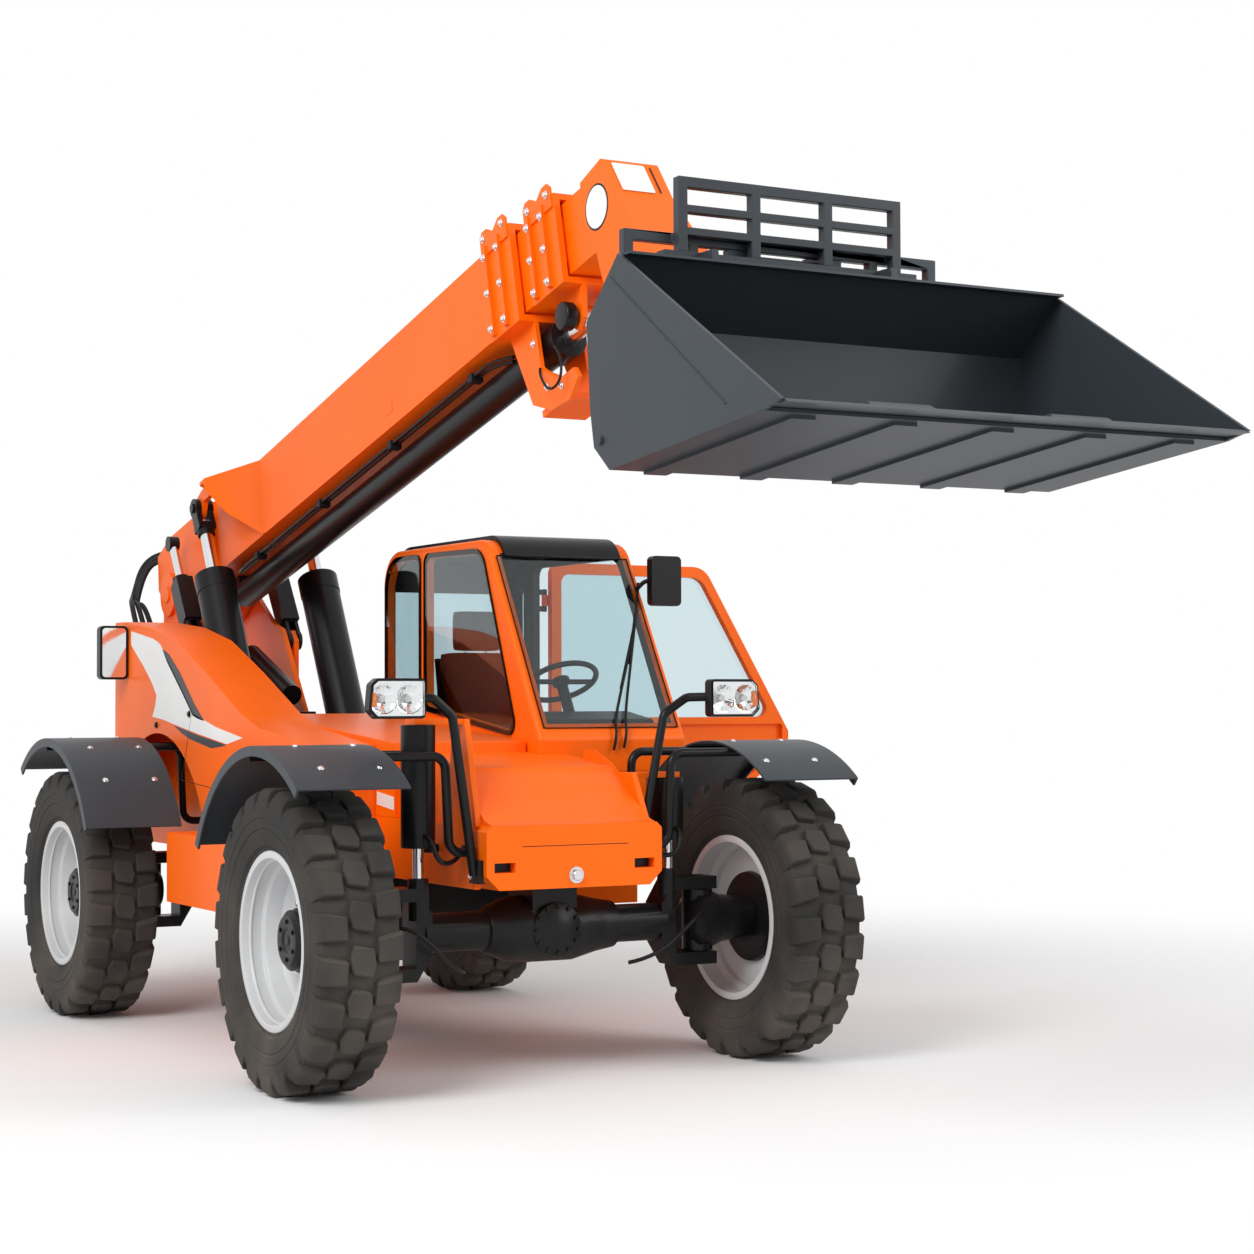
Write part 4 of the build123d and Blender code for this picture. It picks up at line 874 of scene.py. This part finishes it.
def dressBoom():
    for side, name in sides:
        dressBoomSide(side, name)
    down = onBoom(5.530, 0.0, 0.160) - onBoom(5.440, 0.0, 0.355)
    place = onPlane(onBoom(5.487, 0.0, 0.2595), (0.0, 1.0, 0.0), -down)
    label = roundOutline([(-0.095, -0.085), (0.060, -0.085), (0.060, 0.085), (-0.095, 0.085)],
                         0.008)
    showPiece("headPlate", prismMesh(label, boomLook["padThickness"], place), "boom_nose",
              "whitePaint")
    slit = roundOutline([(0.085, -0.080), (0.092, -0.080), (0.092, 0.080), (0.085, 0.080)], 0.003)
    showPiece("headSlit", prismMesh(slit, 0.0015, place), "boom_nose", "blackPaint")
    lines = [boomLine(side * across, up, end) for side in (1, -1)
             for across, up, end in ((0.105, -0.105, 4.36), (0.130, -0.100, 4.40))]
    showPiece("boomLines", joined(lines), "boom", "blackPaint")
    clampOutline = roundOutline([(-0.020, -0.030), (0.020, -0.030), (0.020, 0.012),
                                 (-0.020, 0.012)], 0.006)
    clamps = []
    for side in (-1, 1):
        clamp = prismMesh(clampOutline, 0.062, boomFace(1.2, side * 0.086, -0.098, side))
        clamps.append(repeated(roundEdges(clamp, 0.003, 1), boomLook["clamps"], "blackPlastic",
                               step=tuple(boomAlong * boomLook["clampStep"])))
    showPiece("boomClamps", joined(clamps), "boom", "blackPlastic")
    patch = prismMesh(rectangle(0.110, 0.070, 0.008), 0.0015, boomFace(3.2, -0.1803, 0.05, -1))
    showPiece("boomPlate", patch, "boom", "orangePaint")
    plug = turnedMesh([(0.0, 0.0), (0.0, 0.055), (0.006, 0.062), (0.050, 0.062), (0.058, 0.052),
                       (0.058, 0.0)], 32)
    for side, name in sides:
        place = Matrix.Translation(onBoom(4.985, side * 0.128 - 0.029, -0.168))
        showPiece(f"eyePlug_{name}", moved(roundEdges(plug, 0.003, 2), place), "boom_middle",
                  "blackPaint")
    loop = [onBoom(4.70, -0.13, -0.30), onBoom(4.76, -0.17, -0.36), onBoom(4.86, -0.185, -0.47),
            onBoom(4.96, -0.175, -0.45), onBoom(4.955, -0.16, -0.33), onBoom(4.87, -0.14, -0.26)]
    showPiece("glandCable", pipeMesh(loop, boomLook["cableRadius"]), "boom", "blackPlastic")


dressBoom()
print("boom fittings")

# hoses that loop from the tail of the boom to the frame, each held at both ends
hoseLook = {
    "tops": ((-0.150, 0.28), (-0.110, 0.31), (-0.070, 0.34), (0.070, 0.34), (0.110, 0.31),
             (0.150, 0.28)),
    "topsAlong": (-0.24, -0.23, -0.24, -0.24, -0.23, -0.24),
    "foot": (-2.965, 0.255, 1.42),
    "pitch": 0.05,
    "spread": 0.035,
    "radius": 0.016,
    "fitting": 0.022,
    "lift": 0.013,
    "sway": 0.011,
    "axle": 0.009,
}


def tailHose(number, along, across, up):
    side = -1 if across < 0 else 1
    row = number % 3
    far = hoseLook["spread"] * row
    x, y, z = hoseLook["foot"]
    top = onBoom(along, across, up)
    low = Vector((x, side * (y + hoseLook["pitch"] * row), z))
    grip = low + Vector((0.0, 0.0, 0.08))
    points = [top, top + Vector((-0.08, side * 0.02, 0.02)),
              top + Vector((-0.15 - far, side * (0.10 + far), -0.04)),
              top + Vector((-0.17 - far, side * (0.16 + far), -0.28)),
              low + Vector((-0.24 + far, side * 0.04, 0.40)),
              low + Vector((-0.06, side * 0.02, 0.16)), grip, low]
    hose = pipeMesh(points, hoseLook["radius"])
    softShade(hose, 60.0)
    hose.materials.clear()
    hose.materials.append(finish["hoseRubber"])
    piece = newObject(f"tailHose_{number + 1}", hose)
    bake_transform(piece)
    half = Vector((0.05, 0.0, 0.0))
    for place, body, ends in (("Foot", "chassis", [low, low + Vector((0.0, 0.0, 0.07))]),
                              ("Top", "boom", [top + half, top - half])):
        cuff = pipeMesh(ends, hoseLook["fitting"], smooth=False)
        showPiece(f"hose{place}Fitting_{number + 1}", cuff, body, "chromeRod")


def dressHoses():
    for number, (along, (across, up)) in enumerate(zip(hoseLook["topsAlong"], hoseLook["tops"])):
        tailHose(number, along, across, up)
    for side, name in sides:
        paths = {
            "lift": [(-1.20, 0.33, 0.66), (-1.16, 0.30, 0.60), (-1.30, 0.24, 0.62),
                     (-1.55, 0.24, 0.62), (-1.75, 0.24, 0.60)],
            "sway": [(1.660, 0.62, 0.62), (1.715, 0.62, 0.62), (1.735, 0.59, 0.50),
                     (1.685, 0.48, 0.51), (1.645, 0.43, 0.57)],
            "axle": [(1.60, 0.41, 0.02), (1.70, 0.50, 0.05), (1.74, 0.66, 0.20), (1.68, 0.76, 0.25),
                     (1.60, 0.80, 0.20)],
        }
        for hose, path in paths.items():
            mesh = pipeMesh([(x, side * y, z) for x, y, z in path], hoseLook[hose])
            showPiece(f"{hose}Hose_{name}", mesh, "chassis", "hoseRubber", 60.0)


dressHoses()
print("hoses")

# cab: gaskets, wipers, seat and fittings
cabLook = {
    "gasketed": ("windscreen", "side_glass", "door_glass"),
    "gasketDepth": 0.018,
    "pane": 0.006,
    "wiper": 0.007,
    "wiperBlade": 0.008,
    "cushionCrown": 0.030,
    "headRestCrown": 0.02,
    "channelDepth": 0.004,
}
wiperLook = (
    {"foot": (1.030, 0.651, 0.965), "reach": 0.60, "swing": 0.26},
    {"foot": (1.030, 0.706, 0.975), "reach": 0.74, "swing": 0.27},
)


def paneFaces(node):
    # one broad face of each pane of glass of a node
    shape = bmesh.new()
    shape.from_mesh(plainCopy(node))
    left = set(shape.faces)
    found = []
    for start in shape.faces:
        if start not in left:
            continue
        left.remove(start)
        part, edge = [start], [start]
        while edge:
            for corner in edge.pop().verts:
                for other in corner.link_faces:
                    if other in left:
                        left.remove(other)
                        part.append(other)
                        edge.append(other)
        face = max(part, key=lambda f: (round(f.calc_area(), 4), [round(n, 3) for n in f.normal]))
        corners = [v.co.copy() for v in face.verts]
        first = min(range(len(corners)), key=lambda i: [round(n, 4) for n in corners[i]])
        found.append((corners[first:] + corners[:first], face.normal.copy()))
    shape.free()
    return found


def gasketMesh(corners, normal, depth):
    # a band round the pane's edge, proud of the glass by the same on both sides
    shape = bmesh.new()
    lift = normal * (depth - cabLook["pane"]) / 2
    front, back = ([shape.verts.new(p + shift) for p in corners]
                   for shift in (lift, lift - normal * depth))
    for i in range(len(corners)):
        shape.faces.new((back[i - 1], back[i], front[i], front[i - 1]))
    return roundEdges(meshOf(shape), 0.002, 1)


def cushionMesh(low, high, crown, lean=0.0):
    # a padded block whose broad faces swell between drawn-in edges, with sewn channels
    shape = bmesh.new()
    bmesh.ops.create_cube(shape, size=2.0)
    bmesh.ops.subdivide_edges(shape, edges=shape.edges, cuts=9, use_grid_fill=True)
    half = [(b - a) / 2 for a, b in zip(low, high)]
    middle = [(a + b) / 2 for a, b in zip(low, high)]
    thin = half.index(min(half))
    wide, tall = [j for j in range(3) if j != thin]
    for corner in shape.verts:
        u = corner.co.copy()
        swollen = [0.0, 0.0, 0.0]
        for i in range(3):
            others = [abs(u[j]) for j in range(3) if j != i]
            pull = 1.0 - 0.045 * (others[0] ** 6 + others[1] ** 6)
            swollen[i] = u[i] * pull * half[i]
        swell = (1 - u[wide] ** 2) * (1 - u[tall] ** 2)
        swollen[thin] *= 1.0 - crown / half[thin] * (1 - swell)
        seam = 0.5 - math.cos(u[wide] * math.pi * 2.5) * 0.5
        swollen[thin] -= math.copysign(cabLook["channelDepth"] * seam * swell ** 0.5, u[thin])
        corner.co = Vector([m + r for m, r in zip(middle, swollen)])
        corner.co.x -= lean * (corner.co.z - low[2])
    return meshOf(shape)


def dressGlass():
    for node in cabLook["gasketed"]:
        bands = [gasketMesh(corners, normal, cabLook["gasketDepth"])
                 for corners, normal in paneFaces(node)]
        showPiece(f"gasket_{node}", joined(bands), bodyOf[node], "blackPlastic")
    low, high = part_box("windscreen")
    slope = (Vector((low.x, 0.0, high.z)) - Vector((high.x, 0.0, low.z))).normalized()
    out = Vector((slope.z, 0.0, -slope.x))
    wipers = []
    for wiper in wiperLook:
        foot = Vector(wiper["foot"])
        knee = foot + Vector((0.018, 0.01, 0.07))
        joint = foot + slope * 0.14 + out * 0.035 + Vector((0.0, 0.03, 0.0))
        tip = foot + slope * wiper["reach"] + out * 0.030 + Vector((0.0, wiper["swing"], 0.0))
        wipers.append(pipeMesh([foot, knee, joint, joint.lerp(tip, 0.5), tip], cabLook["wiper"]))
        along = (tip - joint).normalized()
        blade = [tip - along * 0.30 - out * 0.012, tip + along * 0.22 - out * 0.012]
        wipers.append(pipeMesh(blade, cabLook["wiperBlade"], smooth=False))
    showPiece("wipers", joined(wipers), "chassis", "blackPlastic", 60.0)


def dressSeat():
    low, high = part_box("seat")
    crown = cabLook["cushionCrown"]
    middle = (low.y + high.y) / 2
    pads = {
        "seatCushion": cushionMesh((low.x + 0.09, low.y + 0.01, low.z),
                                   (high.x, high.y - 0.01, low.z + 0.13), crown),
        "seatBack": cushionMesh((low.x + 0.10, low.y + 0.03, low.z + 0.10),
                                (low.x + 0.22, high.y - 0.03, high.z - 0.02), crown, 0.22),
        "headRest": cushionMesh((low.x + 0.02, middle - 0.13, high.z - 0.01),
                                (low.x + 0.12, middle + 0.13, high.z + 0.20),
                                cabLook["headRestCrown"]),
    }
    outline = [(low.x + 0.065, low.z + 0.02), (high.x - 0.02, low.z + 0.02),
               (high.x - 0.02, low.z - 0.004), (low.x + 0.085, low.z - 0.004),
               (low.x - 0.015, high.z - 0.05), (low.x + 0.015, high.z - 0.05)]
    shell = prismMesh(outline, high.y - low.y - 0.06, facingRight((0.0, high.y - 0.03, 0.0)))
    showPiece("seatShell", roundEdges(shell, 0.008), "chassis", "blackPlastic", standsFor=["seat"])
    for name, mesh in pads.items():
        pad = showPiece(name, mesh, "chassis", "seatCloth", 70.0)
    posts = [pipeMesh([(low.x + 0.06, middle + side * 0.06, high.z - 0.06),
                       (low.x + 0.065, middle + side * 0.06, high.z + 0.05)], 0.007, smooth=False)
             for side in (-1, 1)]
    showPiece("headRestPosts", joined(posts), "chassis", "chromeRod")


dressGlass()
dressSeat()
print("cab")

# lamps, mirrors, nose and small plates
lampLook = {
    "centre": (0.83, 1.21),
    "mouth": (-0.118, 0.232, 0.073),   # inner edge, width, half height
    "setBack": 0.016,
    "bowl": 0.062,
    "bowlDepth": 0.028,
    "bowlCentres": (-0.058, 0.060),
    "flutes": 14,
    "fluteDepth": 0.0012,
    "bulbFront": 1.812,
    "indicator": (1.826, 0.936, 1.205),
    "bracket": {"right": 1.765, "left": 1.655},
}
mirrorLook = {
    "left": {"place": (0.629, 1.150, 1.800), "size": (0.144, 0.224), "facing": -1},
    "right": {"place": (-2.0495, -0.836, 1.482), "size": (0.134, 0.274), "facing": 1},
}
noseLook = {
    "nutHeight": 0.445,
    "nut": (0.026, 0.022),
    "washer": (0.034, 0.006),
    "seamHeight": 0.575,
    "seam": (0.52, 0.003),
    "slot": (0.094, 0.036),
    "slotPlace": (-0.052, 0.342, 0.486),   # from the nose's face
    "coverPlace": (1.688, 0.195),
    "coverBolt": (0.010, 0.010),
}


def reflectorMesh(side):
    # two silvered bowls in the mouth of the lamp, fluted round their centres
    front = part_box("lamp_lenses")[1].x - lampLook["setBack"]
    centreY, centreZ = lampLook["centre"]
    inner, wide, halfTall = lampLook["mouth"]
    bowl = lampLook["bowl"]
    across, tall = 40, 26
    shape = bmesh.new()
    rows = []
    for i in range(across + 1):
        row = []
        for j in range(tall + 1):
            y = inner + wide * i / across
            z = -halfTall + 2 * halfTall * j / tall
            depth = 0.0
            for centre in lampLook["bowlCentres"]:
                far = math.hypot(y - centre, z)
                if far < bowl:
                    angle = math.atan2(z, y - centre)
                    depth = lampLook["bowlDepth"] * (1 - (far / bowl) ** 2)
                    depth += (lampLook["fluteDepth"] * math.cos(lampLook["flutes"] * angle)
                              * far / bowl)
            row.append(shape.verts.new((front - depth, side * (centreY + y), centreZ + z)))
        rows.append(row)
    for i in range(across):
        for j in range(tall):
            shape.faces.new((rows[i][j], rows[i + 1][j], rows[i + 1][j + 1], rows[i][j + 1]))
    shape.normal_update()
    if next(iter(shape.faces)).normal.x < 0:
        bmesh.ops.reverse_faces(shape, faces=shape.faces)
    return toMesh(shape, "reflector")


def dressLamps():
    facing = Matrix.Rotation(-math.pi / 2, 4, "Z")
    lens = turnedMesh([(0.0, 0.0), (0.0, 0.016), (0.010, 0.014), (0.014, 0.0)], 24)
    centreY, centreZ = lampLook["centre"]
    for side, name in sides:
        showPiece(f"reflector_{name}", reflectorMesh(side), "chassis", "silvering", 60.0)
        bulbs = [moved(lens, Matrix.Translation(
            (lampLook["bulbFront"], side * (centreY + bowl), centreZ)) @ facing)
                 for bowl in lampLook["bowlCentres"]]
        showPiece(f"lampBulbs_{name}", joined(bulbs), "chassis", "whitePaint", 50.0)
        x, y, z = lampLook["indicator"]
        amber = prismMesh([(-0.016, -0.030), (0.016, -0.030), (0.010, 0.030), (-0.012, 0.030)],
                          0.016, facingFront((x, side * y, z)))
        showPiece(f"indicator_{name}", roundEdges(amber, 0.003), "chassis", "amberLens", 40.0)
        places = [(lampLook["bracket"][name], side * 0.4552, height) for height in (0.45, 0.50)]
        showPiece(f"bracketBolts_{name}", boltsAt(places, (0.0, side, 0.0), 0.010, 0.010),
                  "chassis", "chromeRod")


def dressMirrors():
    for name, mirror in mirrorLook.items():
        place = onPlane(mirror["place"], (0.0, mirror["facing"], 0.0), (0.0, 0.0, 1.0))
        glass = prismMesh(rectangle(*mirror["size"], 0.018), 0.002, place)
        showPiece(f"mirrorGlass_{name}", glass, "chassis", "silvering")


def dressNose():
    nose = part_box("main_frame")[1].x
    centre = (nose, 0.0, noseLook["nutHeight"])
    radius, thick = noseLook["washer"]
    washer = prismMesh(ringOutline(radius, 24), thick, facingFront(centre))
    showPiece("noseNut", joined([boltsAt([centre], (1.0, 0.0, 0.0), *noseLook["nut"]), washer]),
              "chassis", "chromeRod")
    seam = rectangle(*noseLook["seam"], 0.001, 2)
    showPiece("noseSeam", prismMesh(seam, 0.0008, facingFront((nose, 0.0, noseLook["seamHeight"]))),
              "chassis", "blackPaint")
    x, y, z = noseLook["slotPlace"]
    for side, name in sides:
        shade = prismMesh(rectangle(*noseLook["slot"], 0.006), 0.003,
                          facingFront((nose + x, side * y, z)))
        showPiece(f"slotShade_{name}", shade, "chassis", "blackPaint")


def dressAxles():
    x, z = noseLook["coverPlace"]
    profile = [(0.0, 0.0), (0.0, 0.118), (0.010, 0.118), (0.014, 0.088), (0.030, 0.060),
               (0.034, 0.0)]
    for end, name in ((1, "front"), (-1, "rear")):
        stud = moved(boltMesh(*noseLook["coverBolt"]),
                     Matrix.Translation((0.0, 0.010, 0.103)) @ facingLeft)
        cover = joined([roundEdges(turnedMesh(profile, 40), 0.003, 2),
                        aroundY(stud, 12, "blackPaint")])
        place = Matrix.Translation((end * x, 0.0, z)) @ Matrix.Rotation(-end * math.pi / 2, 4, "Z")
        showPiece(f"axleCover_{name}", moved(cover, place), "chassis", "blackPaint")


def dressPlates():
    card = rectangle(0.064, 0.070, 0.005)
    for name, place in (("cover", facingRight((1.250, -0.4020, 0.820))),
                        ("hood", facingFront((-1.5995, -0.050, 1.060)))):
        showPiece(f"plate_{name}", prismMesh(card, 0.0015, place), "chassis", "whitePaint")


dressLamps()
dressMirrors()
dressNose()
dressAxles()
dressPlates()
print("lamps and plates")

# stripes, and vent slots in painted shade, on the hood side, cover fasteners and fender bolts
stripeThickness = 0.0012
stripeSide = -0.7502
stripeLook = {
    "whiteSwoosh": {"look": "whitePaint", "outline": (
        (-2.010, 1.975), (-1.790, 1.855), (-1.640, 1.760), (-1.560, 1.690), (-1.585, 1.630),
        (-1.630, 1.575), (-1.450, 1.560), (-1.290, 1.538), (-0.860, 1.485), (-0.450, 1.440),
        (-0.221, 1.473), (-0.609, 1.524), (-0.962, 1.591), (-1.160, 1.730), (-1.375, 1.876),
        (-1.500, 1.965), (-1.560, 1.985), (-1.625, 2.000), (-2.010, 2.052))},
    "darkSwooshTop": {"look": "slatePaint", "outline": (
        (-1.385, 1.868), (-1.160, 1.716), (-0.968, 1.582), (-0.900, 1.568), (-0.792, 1.554),
        (-0.943, 1.642), (-1.176, 1.809), (-1.345, 1.905), (-1.420, 1.930), (-1.460, 1.935))},
    "darkSwooshLow": {"look": "slatePaint", "outline": (
        (-1.280, 1.531), (-1.135, 1.487), (-0.999, 1.458), (-0.681, 1.416), (-0.520, 1.428),
        (-0.460, 1.436), (-0.860, 1.478))},
    "whiteStripeFront": {"look": "whitePaint", "side": -0.4297, "outline": (
        (0.700, 1.170), (0.896, 1.150), (0.896, 1.210), (0.700, 1.232))},
    "hoodSeam": {"look": "blackPaint", "side": -0.7506, "outline": (
        (-0.966, 1.640), (-0.963, 1.640), (-1.141, 1.240), (-1.144, 1.240))},
    "hoodSeamLow": {"look": "blackPaint", "outline": (
        (-1.146, 1.243), (-1.144, 1.240), (0.670, 1.135), (0.670, 1.138))},
}
# black slots laid on the hood panel as painted shade where the perforated grille's holes would be
ventLook = {
    "rear": (-2.94, -0.5),
    "front": (-2.3, -0.75),
    "height": 0.90,
    "columns": (0.30, 0.70),
    "rows": 14,
    "step": 0.032,
    "slot": (0.18, 0.012),
    "thickness": 0.0014,
    "sunk": 0.0006,
}
fenderLook = {
    "axle": (1.55, 0.195),
    "rows": (0.945, 1.205),
    "angles": (-42, -20, 6, 27),
    "bolt": (0.011, 0.008),
}


def dressStripes():
    # outlines are (x, height above the ground)
    for name, stripe in stripeLook.items():
        place = facingRight((0.0, stripe.get("side", stripeSide), groundZ))
        showPiece(name, prismMesh(stripe["outline"], stripeThickness, place), "chassis",
                  stripe["look"])
    latches = [(-1.020, -0.752, 1.140), (-1.560, -0.752, 1.08), (-0.20, -0.751, 0.86),
               (0.45, -0.751, 0.80)]
    showPiece("hoodLatches", boltsAt(latches, (0.0, -1.0, 0.0), 0.014, 0.010), "chassis",
              "blackPaint")


def dressVents():
    # rows of dark slots on the slanted panel behind the mirror: painted shade standing in for the
    # holes of the perforated grille, which is not pierced
    rear = Vector((*ventLook["rear"], ventLook["height"]))
    panel = Vector((*ventLook["front"], ventLook["height"])) - rear
    across = panel.normalized()
    inward = Vector((-across.y, across.x, 0.0))
    place = onPlane((0.0, 0.0, 0.0), across, (0.0, 0.0, 1.0))
    for column, share in enumerate(ventLook["columns"]):
        start = rear + panel * share - inward * ventLook["sunk"]
        slot = prismMesh(rectangle(*ventLook["slot"], 0.004), ventLook["thickness"], place)
        vents = repeated(slot, ventLook["rows"], "blackPaint", step=(0.0, 0.0, ventLook["step"]))
        showPiece(f"hoodVentShade_{column + 1}", moved(vents, Matrix.Translation(start)), "chassis",
                  "blackPaint")


def dressFenders():
    x, z = fenderLook["axle"]
    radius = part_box("fenders")[1].z - z
    for axle, outward in (("front", 1), ("rear", -1)):
        for side, sign in (("left", 1), ("right", -1)):
            heads = []
            for y in fenderLook["rows"]:
                for turn in fenderLook["angles"]:
                    angle = math.radians(turn)
                    out = Vector((outward * math.sin(angle), 0.0, math.cos(angle)))
                    centre = Vector((outward * x, sign * y, z))
                    heads.append(boltsAt([centre + out * radius], out, *fenderLook["bolt"]))
            showPiece(f"fenderBolts_{axle}_{side}", joined(heads), "chassis", "chromeRod")


dressStripes()
dressVents()
dressFenders()
print("stripes and fasteners")

# bucket: fold line and side bolts
bucketLook = {
    "fold": ((3.93, 2.645), (4.68, 2.128)),
    "foldRadius": 0.0035,
    "boltPlace": (3.86, 2.09),
    "bolt": (0.014, 0.010),
}


def dressBucket():
    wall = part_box("bucket")[1].y + 0.0005
    boltX, boltZ = bucketLook["boltPlace"]
    for side, name in sides:
        y = side * wall
        fold = pipeMesh([(x, y, z) for x, z in bucketLook["fold"]], bucketLook["foldRadius"],
                        smooth=False, sides=8)
        showPiece(f"bucketFold_{name}", fold, "tool", "slatePaint", 60.0)
        sideBolt = boltsAt([(boltX, y, boltZ)], (0.0, side, 0.0), *bucketLook["bolt"])
        showPiece(f"bucketBolt_{name}", sideBolt, "tool", "slatePaint")


dressBucket()
print("bucket")
